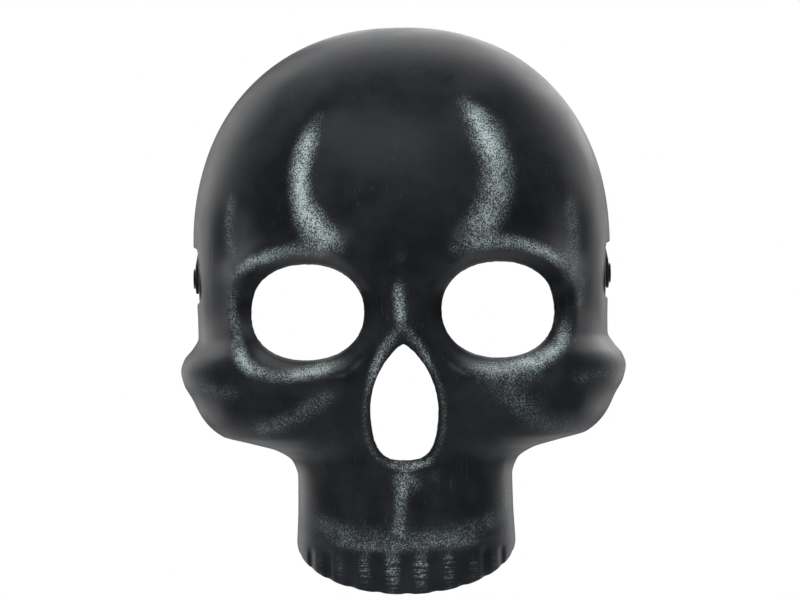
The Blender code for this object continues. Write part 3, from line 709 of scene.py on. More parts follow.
    def cover(self, form: FaceForm, points: Points) -> Points:
        """Silver on the face.

        Args:
            form: the face the silver lies on.
            points: places on it, n by 3.

        Returns:
            Silver at each place, 0 to 1.
        """
        x = points[:, 0]
        z = points[:, 2]
        bare = np.ones(len(points))
        for stroke in self.strokes:
            bare *= 1 - stroke.cover(x, z)
        nose = form.nose_outline(0.001)
        away, _ = from_line(x, z, np.concatenate([nose, nose[:1]]))
        rim = np.exp(-((away - self.nose_rim_out) / self.nose_rim_width) ** 2)
        bare *= 1 - self.nose_rim_strength * rim * smooth_step(-0.002, -0.020, z)
        share = np.arcsin(np.clip(np.abs(x) / form.jaw_half_width, 0, 1)) / math.pi
        crown = np.abs(np.sin(share * form.tooth_count * math.pi)) ** self.tooth_narrow
        crown *= smooth_step(-form.tooth_top_z, self.tooth_bright_z, -z)
        crown *= 1 - self.tooth_fade * smooth_step(self.tooth_bright_z, 0.106, -z)
        middle = np.exp(-(x / self.centre_tooth_reach) ** 2)
        bare *= 1 - (self.tooth_strength + self.centre_tooth_strength * middle) * crown
        return 1 - bare


@dataclass(frozen=True)
class MaskShell:
    """The moulded face: a fine skin of even wall with rounded cut edges."""

    form: FaceForm
    seat: StrapSeat
    silver: DryBrush
    wall: float = 0.0015
    lattice: float = 0.0172
    tooth_lattice: float = 0.0070
    row_share: float = 0.866
    chart_reach: float = 2.2
    tooth_chart_top: float = -0.7
    clear_share: float = 0.55
    edge_spacing: float = 0.0010
    tooth_edge_spacing: float = 0.0006
    rivet_hole: float = 0.0019
    rivet_hole_points: int = 32
    socket_rings: tuple[float, float] = (1.06, 1.47)
    socket_ring_count: int = 8
    socket_ring_spacing: float = 0.0014
    lip_rings: int = 3
    lip_bulge: float = 0.00030
    ripple: float = 0.00010
    ripple_scale: float = 45.0
    scallop: float = 0.00030
    scallop_fade: float = 0.0050
    trim: float = 0.00016
    trim_scale: float = 600.0

    def lattice_points(self, loops: list[Points], lines: list[Points]) -> Points:
        """Fill the chart with a six-sided lattice.

        Args:
            loops: closed chart loops, the rim first and then the holes.
            lines: open chart lines that the mesh follows too.

        Returns:
            Chart points inside the rim, outside the holes and clear of every line.
        """
        marks = np.concatenate(loops + lines)
        tree = KDTree(len(marks))
        for k, mark in enumerate(marks):
            tree.insert((mark[0], mark[1], 0.0), k)
        tree.balance()
        kept = []
        for spacing, teeth in ((self.lattice, False), (self.tooth_lattice, True)):
            rows = int(self.chart_reach / (spacing * self.row_share))
            reach = int(self.chart_reach / spacing)
            across = np.arange(-reach, reach + 1)
            grid = np.concatenate([
                np.stack([(across + 0.5 * (j % 2)) * spacing,
                          np.full(len(across), j * spacing * self.row_share)], 1)
                for j in range(-rows, rows + 1)])
            if teeth:
                grid = grid[grid[:, 1] < self.tooth_chart_top]
            grid = grid[self.inside(grid, loops[0])]
            height = self.form.from_chart(grid)[:, 2]
            grid = grid[(height < self.form.tooth_top_z + self.form.tooth_slope) == teeth]
            for hole in loops[1:]:
                grid = grid[~self.inside(grid, hole)]
            free = [tree.find((p[0], p[1], 0.0))[2] > self.clear_share * spacing for p in grid]
            kept.append(grid[np.array(free)])
        return np.concatenate(kept)

    @staticmethod
    def inside(points: Points, loop: Points) -> Points:
        """Which chart points lie inside a closed chart loop."""
        low = loop.min(0)
        high = loop.max(0)
        near = np.flatnonzero(((points > low) & (points < high)).all(1))
        x, y = points[near].T
        found = np.zeros(len(near), bool)
        for (ax, ay), (bx, by) in zip(loop, np.roll(loop, -1, axis=0)):
            crosses = (ay > y) != (by > y)
            rise = by - ay if abs(by - ay) > 1e-12 else 1e-12
            found ^= crosses & (x < ax + (y - ay) * (bx - ax) / rise)
        out = np.zeros(len(points), bool)
        out[near[found]] = True
        return out

    def skin(self) -> tuple[Points, Points]:
        """Mesh the outer face.

        Returns:
            Its points, n by 3, and its triangles, facing out.
        """
        form = self.form
        low = self.seat.rivet_z - self.seat.down
        high = self.seat.rivet_z + self.seat.up
        marks = (low, low - self.seat.slope, high, high + self.seat.slope)
        rim = form.rim_line(self.edge_spacing * 1.2, self.tooth_edge_spacing, marks)
        below = smooth_step(0.0, self.scallop_fade, form.tooth_edge_z - rim[:, 2])
        rim[:, 2] += self.scallop * below * form.tooth_wave(rim[:, 0])
        loops = [rim]
        for side in (Side.RIGHT, Side.LEFT):
            loops.append(form.lift(self.ragged(form.eye_ring(side, self.edge_spacing))))
        loops.append(form.lift(self.ragged(form.nose_outline(self.edge_spacing))))
        mirror = np.array([-1, 1, 1])
        hole = self.seat.hole(self.rivet_hole, self.rivet_hole_points)
        loops += [hole, hole * mirror]
        lines = []
        for outward in (0.0, self.seat.slope * 0.35, self.seat.slope * 0.7, self.seat.slope):
            line = self.seat.outline(outward, self.edge_spacing)
            lines += [line, line * mirror]
        for share in np.linspace(*self.socket_rings, self.socket_ring_count):
            ring = form.lift(form.eye_ring(Side.RIGHT, self.socket_ring_spacing, share))
            lines += [ring, ring * mirror]
        charts = [form.to_chart(loop) for loop in loops]
        line_charts = [form.to_chart(line) for line in lines]
        points = []
        edges = []
        for chart in charts:
            first = len(points)
            points += chart.tolist()
            edges += [(first + k, first + (k + 1) % len(chart)) for k in range(len(chart))]
        for chart in line_charts:
            first = len(points)
            points += chart.tolist()
            edges += [(first + k, first + k + 1) for k in range(len(chart) - 1)]
        points += self.lattice_points(charts, line_charts).tolist()
        flat, _, faces, _, _, _ = delaunay_2d_cdt([Vector(p) for p in points], edges, [], 0, 1e-7)
        flat = np.array(flat)
        faces = np.array(faces)
        middle = flat[faces].mean(1)
        keep = self.inside(middle, charts[0])
        for hole in charts[1:]:
            keep &= ~self.inside(middle, hole)
        space = form.from_chart(flat)
        placed = np.concatenate(loops)
        space[:len(placed)] = placed
        space = self.seat.press(space)
        faces = faces[keep]
        used = np.unique(faces)
        order = np.zeros(len(space), int)
        order[used] = np.arange(len(used))
        return space[used], order[faces]

    def ragged(self, flat: Points) -> Points:
        """Give a trimmed edge its slight unevenness."""
        out = flat.copy()
        for k, (x, z) in enumerate(flat):
            out[k, 0] += self.trim * noise.noise(Vector((x, z, 0.0)) * self.trim_scale)
            out[k, 1] += self.trim * noise.noise(Vector((z, x, 0.3)) * self.trim_scale)
        return out

    @staticmethod
    def normals(points: Points, faces: Points) -> Points:
        """Unit normals at the points, each face weighing as its area."""
        a, b, c = (points[faces[:, k]] for k in range(3))
        cross = np.cross(b - a, c - a)
        total = np.zeros_like(points)
        for k in range(3):
            np.add.at(total, faces[:, k], cross)
        return total / np.maximum(np.linalg.norm(total, axis=1), 1e-12)[:, None]

    def rippled(self, points: Points, normals: Points) -> Points:
        """Give the moulding its faint unevenness away from the strap seats."""
        wave = np.array([noise.noise(Vector(p) * self.ripple_scale) for p in points])
        free = smooth_step(0.0, 0.004, self.seat.outside(points[:, 1], points[:, 2]))
        return points + normals * (wave * free * self.ripple)[:, None]

    @staticmethod
    def open_edges(faces: Points) -> list[tuple[int, int]]:
        """Directed edges that only one face uses."""
        used = set()
        for a, b, c in faces.tolist():
            used.update(((a, b), (b, c), (c, a)))
        return [edge for edge in used if (edge[1], edge[0]) not in used]

    def build(self, finish: bpy.types.Material) -> bpy.types.Object:
        """Make the shell.

        Args:
            finish: the painted plastic.

        Returns:
            The shell, riding on its body.
        """
        points, faces = self.skin()
        if np.cross(points[faces[:, 1]] - points[faces[:, 0]],
                    points[faces[:, 2]] - points[faces[:, 0]])[:, 1].sum() > 0:
            faces = faces[:, ::-1]
        outward = self.normals(points, faces)
        points = self.rippled(points, outward)
        outward = self.normals(points, faces)
        inner = points - outward * self.wall
        count = len(points)
        everything = [points, inner]
        polygons = faces.tolist() + (faces[:, ::-1] + count).tolist()
        edges = self.open_edges(faces)
        push = np.zeros_like(points)
        for a, b in edges:
            way = np.cross(points[b] - points[a], outward[a])
            way /= np.linalg.norm(way)
            push[a] += way
            push[b] += way
        rim = sorted({a for a, _ in edges})
        push[rim] /= np.linalg.norm(push[rim], axis=1)[:, None]
        place = {v: k for k, v in enumerate(rim)}
        ring_start = []
        for k in range(1, self.lip_rings + 1):
            turn = math.pi * k / (self.lip_rings + 1)
            middle = (points[rim] + inner[rim]) / 2
            ring_start.append(sum(len(part) for part in everything))
            everything.append(middle + outward[rim] * (self.wall / 2 * math.cos(turn))
                              + push[rim] * (self.lip_bulge * math.sin(turn)))
        for a, b in edges:
            chain_a = [a, *(start + place[a] for start in ring_start), a + count]
            chain_b = [b, *(start + place[b] for start in ring_start), b + count]
            for k in range(len(chain_a) - 1):
                polygons.append((chain_b[k], chain_a[k], chain_a[k + 1], chain_b[k + 1]))
        mesh = mesh_from("mask_face", np.concatenate(everything), polygons)
        cover = self.silver.cover(self.form, points)
        lips = [cover[rim] * 0.5] * self.lip_rings
        set_attribute(mesh, "silver", np.concatenate([cover, np.zeros(count), *lips]))
        set_attribute(mesh, "inside", np.concatenate([np.zeros(count), np.ones(count),
                                                      *([np.zeros(len(rim))] * self.lip_rings)]))
        shell = link_object("mask_face", mesh, finish)
        return dress(shell, Body.SHELL, Slot.SHELL, "mask_shell")


class Board:
    """Adds and joins nodes in one node tree."""

    def __init__(self, tree: bpy.types.NodeTree) -> None:
        """Keep the tree that nodes are added to."""
        self.tree = tree

    def add(self, kind: str, **settings: object) -> bpy.types.Node:
        """Add a node.

        Args:
            kind: the node's type.
            **settings: its properties.

        Returns:
            The node.
        """
        node = self.tree.nodes.new(kind)
        for key, value in settings.items():
            setattr(node, key, value)
        return node

    def feed(self, socket: bpy.types.NodeSocket, value: object) -> None:
        """Join a socket to another, or set its value."""
        if isinstance(value, bpy.types.NodeSocket):
            self.tree.links.new(value, socket)
        else:
            socket.default_value = value

    def maths(self, operation: str, *values: object, clamp: bool = False) -> bpy.types.NodeSocket:
        """Add a Math node and return its result."""
        node = self.add("ShaderNodeMath", operation=operation, use_clamp=clamp)
        for socket, value in zip(node.inputs, values):
            self.feed(socket, value)
        return node.outputs[0]

    def noise(self, vector: object, scale: object, detail: float = 2.0,
              roughness: float = 0.5) -> bpy.types.NodeSocket:
        """Add a Noise Texture and return its factor."""
        node = self.add("ShaderNodeTexNoise")
        self.feed(node.inputs["Vector"], vector)
        self.feed(node.inputs["Scale"], scale)
        node.inputs["Detail"].default_value = detail
        node.inputs["Roughness"].default_value = roughness
        return node.outputs["Fac"]

    def stretch(self, vector: object, scale: tuple[float, float, float],
                turn: tuple[float, float, float] = (0, 0, 0)) -> bpy.types.NodeSocket:
        """Turn and scale a vector through a Mapping node."""
        node = self.add("ShaderNodeMapping")
        self.feed(node.inputs["Vector"], vector)
        node.inputs["Rotation"].default_value = turn
        node.inputs["Scale"].default_value = scale
        return node.outputs["Vector"]

    def span(self, value: object, low: float, high: float, to_low: float = 0.0,
             to_high: float = 1.0) -> bpy.types.NodeSocket:
        """Map a value smoothly from one range to another."""
        node = self.add("ShaderNodeMapRange", interpolation_type="SMOOTHSTEP")
        self.feed(node.inputs["Value"], value)
        node.inputs["From Min"].default_value = low
        node.inputs["From Max"].default_value = high
        node.inputs["To Min"].default_value = to_low
        node.inputs["To Max"].default_value = to_high
        return node.outputs["Result"]

    def blend(self, share: object, one: object, two: object) -> bpy.types.NodeSocket:
        """Mix two colours."""
        node = self.add("ShaderNodeMix", data_type="RGBA")
        self.feed(node.inputs[0], share)
        self.feed(node.inputs[6], one)
        self.feed(node.inputs[7], two)
        return node.outputs[2]

    def effect(self, group: bpy.types.NodeTree, **values: object) -> bpy.types.Node:
        """Place a node group; underscores in a name stand for spaces."""
        node = self.add("ShaderNodeGroup", node_tree=group)
        for key, value in values.items():
            self.feed(node.inputs[key.replace("_", " ")], value)
        return node

    def attribute(self, name: str) -> bpy.types.NodeSocket:
        """Read a number stored on the mesh."""
        return self.add("ShaderNodeAttribute", attribute_name=name).outputs["Fac"]

    def place(self) -> bpy.types.NodeSocket:
        """Object coordinates."""
        return self.add("ShaderNodeTexCoord").outputs["Object"]


def new_group(name: str, takes: dict[str, float], gives: tuple[str, ...]
              ) -> tuple[bpy.types.NodeTree, Board, bpy.types.Node, bpy.types.Node]:
    """Start a shader node group.

    Args:
        name: the group's name.
        takes: its number inputs with their defaults; a vector input comes first.
        gives: its outputs.

    Returns:
        The group, a board for it, and its input and output nodes.
    """
    group = bpy.data.node_groups.new(name, "ShaderNodeTree")
    group.interface.new_socket("Vector", in_out="INPUT", socket_type="NodeSocketVector")
    for key, value in takes.items():
        made = group.interface.new_socket(key, in_out="INPUT", socket_type="NodeSocketFloat")
        made.default_value = value
    for key in gives:
        group.interface.new_socket(key, in_out="OUTPUT", socket_type="NodeSocketFloat")
    board = Board(group)
    return group, board, board.add("NodeGroupInput"), board.add("NodeGroupOutput")


class Effects:
    """The node groups that several finishes share."""

    def __init__(self) -> None:
        """Build each group once."""
        self.paint = self.make_paint()
        self.wear = self.make_wear()
        self.yarn = self.make_yarn()

    @staticmethod
    def make_paint() -> bpy.types.NodeTree:
        """Breaks a smooth cover of paint into the grain a nearly dry brush leaves."""
        group, b, given, out = new_group(
            "dry paint", {"Cover": 0.5, "Grain": 1500.0, "Softness": 0.2}, ("Mask",))
        vector = given.outputs["Vector"]
        fine = b.noise(vector, given.outputs["Grain"], 2.0, 0.7)
        broad = b.noise(vector, b.maths("MULTIPLY", given.outputs["Grain"], 0.11), 2.0)
        grain = b.maths("MULTIPLY_ADD", fine, 0.84, b.maths("MULTIPLY", broad, 0.16))
        level = b.span(grain, 0.38, 0.62, 0.0, 1.32)
        low = b.maths("MULTIPLY", given.outputs["Softness"], -1.0)
        width = b.maths("MULTIPLY", given.outputs["Softness"], 2.0)
        gap = b.maths("SUBTRACT", given.outputs["Cover"], level)
        specks = b.maths("DIVIDE", b.maths("SUBTRACT", gap, low), width, clamp=True)
        haze = b.maths("POWER", given.outputs["Cover"], 1.5)
        mask = b.maths("MULTIPLY_ADD", b.maths("MULTIPLY", specks, given.outputs["Cover"]), 0.86,
                       b.maths("MULTIPLY", haze, 0.14), clamp=True)
        strong = b.maths("MULTIPLY", mask, b.span(given.outputs["Cover"], 0.02, 0.30))
        b.feed(out.inputs["Mask"], strong)
        return group

    @staticmethod
    def make_wear() -> bpy.types.NodeTree:
        """Moulded grain, mottling and the odd hair-thin scratch."""
        group, b, given, out = new_group(
            "moulded wear", {"Grain": 2600.0, "Mottle": 60.0}, ("Height", "Mottling", "Scratch"))
        vector = given.outputs["Vector"]
        fine = b.noise(vector, given.outputs["Grain"], 2.0)
        peel = b.noise(vector, b.maths("MULTIPLY", given.outputs["Grain"], 0.2), 2.0)
        mottling = b.noise(vector, given.outputs["Mottle"], 3.0, 0.6)
        lines = []
        for turn in (0.5, -0.9, 1.9):
            drawn = b.stretch(vector, (1.0, 1.0, 0.035), (0.0, turn, 0.0))
            streak = b.noise(drawn, 1300.0, 1.0)
            gate = b.noise(b.stretch(vector, (1.0, 1.0, 1.0), (turn, 0.0, turn)), 42.0, 1.0)
            lines.append(b.maths("MULTIPLY", b.span(streak, 0.69, 0.76), b.span(gate, 0.5, 0.62)))
        scratch = b.maths("MAXIMUM", lines[0], b.maths("MAXIMUM", lines[1], lines[2]))
        height = b.maths("MULTIPLY_ADD", peel, 0.7, b.maths("MULTIPLY", fine, 0.3))
        b.feed(out.inputs["Height"], b.maths("MULTIPLY_ADD", scratch, -0.10, height))
        b.feed(out.inputs["Mottling"], mottling)
        b.feed(out.inputs["Scratch"], scratch)
        return group

    @staticmethod
    def make_yarn() -> bpy.types.NodeTree:
        """Crossing yarns on a map whose X runs along and Y across, in metres, with painted shade
        between them.
        """
        group, b, given, out = new_group(
            "crossing yarn", {"Along": 0.0009, "Across": 0.0009}, ("Height", "Shade"))
        split = b.add("ShaderNodeSeparateXYZ")
        b.feed(split.inputs[0], given.outputs["Vector"])
        along = b.maths("DIVIDE", split.outputs[0], given.outputs["Along"])
        across = b.maths("DIVIDE", split.outputs[1], given.outputs["Across"])
        row = b.maths("FLOOR", across)
        shifted = b.maths("MULTIPLY_ADD", row, 0.5, along)
        pick = b.maths("ABSOLUTE", b.maths("SINE", b.maths("MULTIPLY", shifted, math.pi)))
        side = b.maths("ABSOLUTE", b.maths("SINE", b.maths("MULTIPLY", across, math.pi)))
        bulge = b.maths("MULTIPLY", b.maths("POWER", pick, 0.6), b.maths("POWER", side, 0.5))
        fibre = b.noise(b.stretch(given.outputs["Vector"], (1.0, 6.0, 1.0)), 5200.0, 3.0, 0.7)
        b.feed(out.inputs["Height"], b.maths("MULTIPLY_ADD", fibre, 0.25, bulge))
        # Colour output: random fibre tone plus painted shade, darker in the gaps between yarns
        # where the bulge falls away.
        b.feed(out.inputs["Shade"], b.maths("MULTIPLY_ADD", fibre, 0.4,
                                            b.maths("MULTIPLY", bulge, 0.6)))
        return group


@dataclass(frozen=True)
class Finish:
    """What every finish shares: a name, two shades and how rough it is."""

    name: str
    dark: tuple[float, float, float]
    light: tuple[float, float, float]
    roughness: float
    metallic: float = 0.0
    bump: float = 0.2
    bump_height: float = 0.0002

    def start(self) -> tuple[bpy.types.Material, Board, bpy.types.Node]:
        """Make the material with its Principled shader."""
        made = bpy.data.materials.new(self.name)
        made.use_nodes = True
        shader = made.node_tree.nodes["Principled BSDF"]
        shader.inputs["Metallic"].default_value = self.metallic
        shader.inputs["Roughness"].default_value = self.roughness
        return made, Board(made.node_tree), shader

    def relief(self, board: Board, shader: bpy.types.Node, height: object) -> None:
        """Feed a height into the shader's normal."""
        bump = board.add("ShaderNodeBump")
        bump.inputs["Strength"].default_value = self.bump
        bump.inputs["Distance"].default_value = self.bump_height
        board.feed(bump.inputs["Height"], height)
        board.feed(shader.inputs["Normal"], bump.outputs["Normal"])

    def shades(self, board: Board, share: object) -> bpy.types.NodeSocket:
        """Mix the dark and light shade."""
        return board.blend(share, (*self.dark, 1.0), (*self.light, 1.0))


@dataclass(frozen=True)
class PaintedPlastic(Finish):
    """Satin black plastic with silver dry-brushed over its ridges."""

    silver: tuple[float, float, float] = (0.76, 0.90, 0.91)
    grain: float = 1750.0
    specular: float = 0.10
    silver_roughness: float = 0.55
    inside_roughness: float = 0.30

    def build(self, effects: Effects) -> bpy.types.Material:
        """Make the material from the shared effects."""
        made, b, shader = self.start()
        shader.inputs["Specular IOR Level"].default_value = self.specular
        place = b.place()
        wear = b.effect(effects.wear, Vector=place, Grain=2600.0, Mottle=55.0)
        split = b.add("ShaderNodeSeparateXYZ")
        b.feed(split.inputs[0], place)
        teeth = b.span(split.outputs[2], -0.0960, -0.0925, 1.0, 0.0)
        pulled = b.noise(b.stretch(place, (0.05, 0.05, 1.0)), 1900.0, 2.0)
        missed = b.maths("MULTIPLY", teeth, b.span(pulled, 0.42, 0.58, 0.65, 0.0))
        cover = b.maths("MULTIPLY", b.attribute("silver"), b.maths("SUBTRACT", 1.0, missed))
        soft = b.maths("MULTIPLY_ADD", cover, -0.24, 0.42)
        paint = b.effect(effects.paint, Vector=place, Cover=cover, Grain=self.grain,
                         Softness=soft)
        black = self.shades(b, b.span(wear.outputs["Mottling"], 0.35, 0.70))
        scuffed = b.blend(b.maths("MULTIPLY", wear.outputs["Scratch"], 0.03), black,
                          (*self.silver, 1.0))
        b.feed(shader.inputs["Base Color"],
               b.blend(paint.outputs["Mask"], scuffed, (*self.silver, 1.0)))
        rough = b.span(wear.outputs["Mottling"], 0.3, 0.7, self.roughness - 0.03,
                       self.roughness + 0.04)
        mixed = b.add("ShaderNodeMix", data_type="FLOAT")
        b.feed(mixed.inputs[0], paint.outputs["Mask"])
        b.feed(mixed.inputs[2], rough)
        mixed.inputs[3].default_value = self.silver_roughness
        smooth = b.add("ShaderNodeMix", data_type="FLOAT")
        b.feed(smooth.inputs[0], b.attribute("inside"))
        b.feed(smooth.inputs[2], mixed.outputs[0])
        smooth.inputs[3].default_value = self.inside_roughness
        b.feed(shader.inputs["Roughness"], smooth.outputs[0])
        self.relief(b, shader, b.maths("MULTIPLY_ADD", paint.outputs["Mask"], 0.4,
                                       wear.outputs["Height"]))
        return made


@dataclass(frozen=True)
class WornPart(Finish):
    """A small moulded or plated part with mottling and scratches."""

    grain: float = 3000.0

    def build(self, effects: Effects) -> bpy.types.Material:
        """Make the material from the shared effects."""
        made, b, shader = self.start()
        wear = b.effect(effects.wear, Vector=b.place(), Grain=self.grain, Mottle=420.0)
        share = b.maths("MAXIMUM", b.span(wear.outputs["Mottling"], 0.45, 0.75),
                        wear.outputs["Scratch"])
        b.feed(shader.inputs["Base Color"], self.shades(b, share))
        b.feed(shader.inputs["Roughness"],
               b.span(wear.outputs["Mottling"], 0.3, 0.7, self.roughness - 0.06,
                      self.roughness + 0.08))
        self.relief(b, shader, wear.outputs["Height"])
        return made


@dataclass(frozen=True)
class WovenElastic(Finish):
    """Knitted elastic or twisted thread, patterned on the piece's own map."""

    along: float = 0.0009
    across: float = 0.0009
    map_name: str = "weave"

    def build(self, effects: Effects) -> bpy.types.Material:
        """Make the material from the shared effects."""
        made, b, shader = self.start()
        weave = b.add("ShaderNodeUVMap", uv_map=self.map_name)
        yarn = b.effect(effects.yarn, Vector=weave.outputs["UV"], Along=self.along,
                        Across=self.across)
        fuzz = b.noise(b.place(), 420.0, 3.0, 0.6)
        # Colour: random fuzz tone plus the yarn's painted shade, darker in the gaps between yarns.
        share = b.maths("MULTIPLY_ADD", fuzz, 0.35,
                        b.maths("MULTIPLY", yarn.outputs["Shade"], 0.65))
        b.feed(shader.inputs["Base Color"], self.shades(b, share))
        shader.inputs["Sheen Weight"].default_value = 0.10
        shader.inputs["Sheen Roughness"].default_value = 0.5
        self.relief(b, shader, yarn.outputs["Height"])
        return made


@dataclass(frozen=True)
class OpenFoam(Finish):
    """Fine open-cell foam, with painted shade in its pits."""

    cell: float = 1700.0

    def build(self, effects: Effects) -> bpy.types.Material:
        """Make the material from the shared effects."""
        made, b, shader = self.start()
        place = b.place()
        cells = b.add("ShaderNodeTexVoronoi", feature="F1")
        b.feed(cells.inputs["Vector"], place)
        cells.inputs["Scale"].default_value = self.cell
        wear = b.effect(effects.wear, Vector=place, Grain=2200.0, Mottle=180.0)
        pit_depth_and_shade = b.span(cells.outputs["Distance"], 0.15, 0.75)
        # Colour: random mottling plus painted shade, darker down in the pits and lighter on the
        # cell walls.
        share = b.maths("MULTIPLY_ADD", wear.outputs["Mottling"], 0.4,
                        b.maths("MULTIPLY", pit_depth_and_shade, 0.6))
        b.feed(shader.inputs["Base Color"], self.shades(b, share))
        self.relief(b, shader, b.maths("MULTIPLY_ADD", pit_depth_and_shade, 0.8, wear.outputs["Height"]))
        return made


class Wardrobe:
    """Every finish on the mask, made once."""

    def __init__(self) -> None:
        """Build the materials."""
        effects = Effects()
        self.shell = PaintedPlastic("black plastic with dry-brushed silver",
                                    (0.0120, 0.0136, 0.0168), (0.0220, 0.0245, 0.0295), 0.40,
                                    bump=0.16).build(effects)
        self.elastic = WovenElastic("black woven elastic", (0.003, 0.003, 0.004),
                                    (0.015, 0.015, 0.017), 0.88, bump=0.7).build(effects)
        self.thread = WovenElastic("black sewing thread", (0.008, 0.008, 0.009),
                                   (0.050, 0.050, 0.054), 0.7, bump=0.4, along=0.0006,
                                   across=0.0003).build(effects)
        self.enamel = WornPart("black enamelled brass", (0.010, 0.010, 0.011),
                               (0.040, 0.039, 0.038), 0.34, metallic=0.75).build(effects)
        self.zinc = WornPart("zinc plated steel", (0.36, 0.36, 0.37), (0.56, 0.56, 0.55), 0.34,
                             metallic=1.0).build(effects)
        self.moulded = WornPart("black moulded plastic", (0.010, 0.010, 0.011),
                                (0.020, 0.020, 0.022), 0.40).build(effects)
        self.foam = OpenFoam("charcoal foam", (0.016, 0.016, 0.018), (0.070, 0.070, 0.075), 0.95,
                             bump=0.8, bump_height=0.0003).build(effects)


class StitchTree:
    """A Geometry Nodes tree that sews a row of raised stitches along a line."""

    NAME = "row of stitches"
    BEAD_SEGMENTS = 8
    BEAD_RINGS = 6

    def __init__(self, thread: bpy.types.Material) -> None:
        """Build the tree for one thread."""
        tree = bpy.data.node_groups.new(self.NAME, "GeometryNodeTree")
        face = tree.interface
        face.new_socket("Geometry", in_out="INPUT", socket_type="NodeSocketGeometry")
        self.inputs = {}
        for name in ("Pitch", "Stitch Length", "Thread Radius"):
            self.inputs[name] = face.new_socket(name, in_out="INPUT",
                                                socket_type="NodeSocketFloat").identifier
        face.new_socket("Geometry", in_out="OUTPUT", socket_type="NodeSocketGeometry")
        b = Board(tree)
        given = b.add("NodeGroupInput").outputs
        bead = b.add("GeometryNodeMeshUVSphere")
        b.feed(bead.inputs["Segments"], self.BEAD_SEGMENTS)
        b.feed(bead.inputs["Rings"], self.BEAD_RINGS)
        b.feed(bead.inputs["Radius"], given["Thread Radius"])
        longer = b.maths("DIVIDE", given["Stitch Length"], given["Thread Radius"])
        size = b.add("ShaderNodeCombineXYZ")
        for socket, value in zip(size.inputs, (1.0, 1.0, b.maths("MULTIPLY", longer, 0.5))):
            b.feed(socket, value)
        to_curve = b.add("GeometryNodeMeshToCurve")
        b.feed(to_curve.inputs["Mesh"], given["Geometry"])
        spread = b.add("GeometryNodeCurveToPoints", mode="LENGTH")
        b.feed(spread.inputs["Curve"], to_curve.outputs["Curve"])
        b.feed(spread.inputs["Length"], given["Pitch"])
        sew = b.add("GeometryNodeInstanceOnPoints")
        for key, value in (("Points", spread.outputs["Points"]),
                           ("Rotation", spread.outputs["Rotation"]),
                           ("Instance", bead.outputs["Mesh"]), ("Scale", size.outputs["Vector"])):
            b.feed(sew.inputs[key], value)
        sewn = sew.outputs["Instances"]
        for kind in ("GeometryNodeRealizeInstances", "GeometryNodeSetShadeSmooth",
                     "GeometryNodeSetMaterial"):
            step = b.add(kind)
            b.feed(step.inputs["Geometry"], sewn)
            sewn = step.outputs["Geometry"]
        step.inputs["Material"].default_value = thread
        b.feed(b.add("NodeGroupOutput").inputs["Geometry"], sewn)
        self.tree = tree

    def sew(self, name: str, rows: list[Points], pitch: float, length: float, radius: float,
            thread: bpy.types.Material) -> bpy.types.Object:
        """Sew rows of stitches.

        Args:
            name: the piece's name.
            rows: open lines in place, each n by 3.
            pitch: the distance from stitch to stitch.
            length: one stitch's visible length.
            radius: the thread's radius.
            thread: the thread's material.

        Returns:
            The stitches as a plain mesh.
        """
        mesh = bpy.data.meshes.new(name)
        points = np.concatenate(rows)
        edges = []
        start = 0
        for row in rows:
            edges += [(start + k, start + k + 1) for k in range(len(row) - 1)]
            start += len(row)
        mesh.from_pydata([tuple(p) for p in points], edges, [])
        piece = link_object(name, mesh, thread)
        sewing = piece.modifiers.new("stitches", "NODES")
        sewing.node_group = self.tree
        for key, value in (("Pitch", pitch), ("Stitch Length", length), ("Thread Radius", radius)):
            sewing[self.inputs[key]] = value
        settle(piece)
        piece.data.uv_layers.new(name="weave")
        return piece


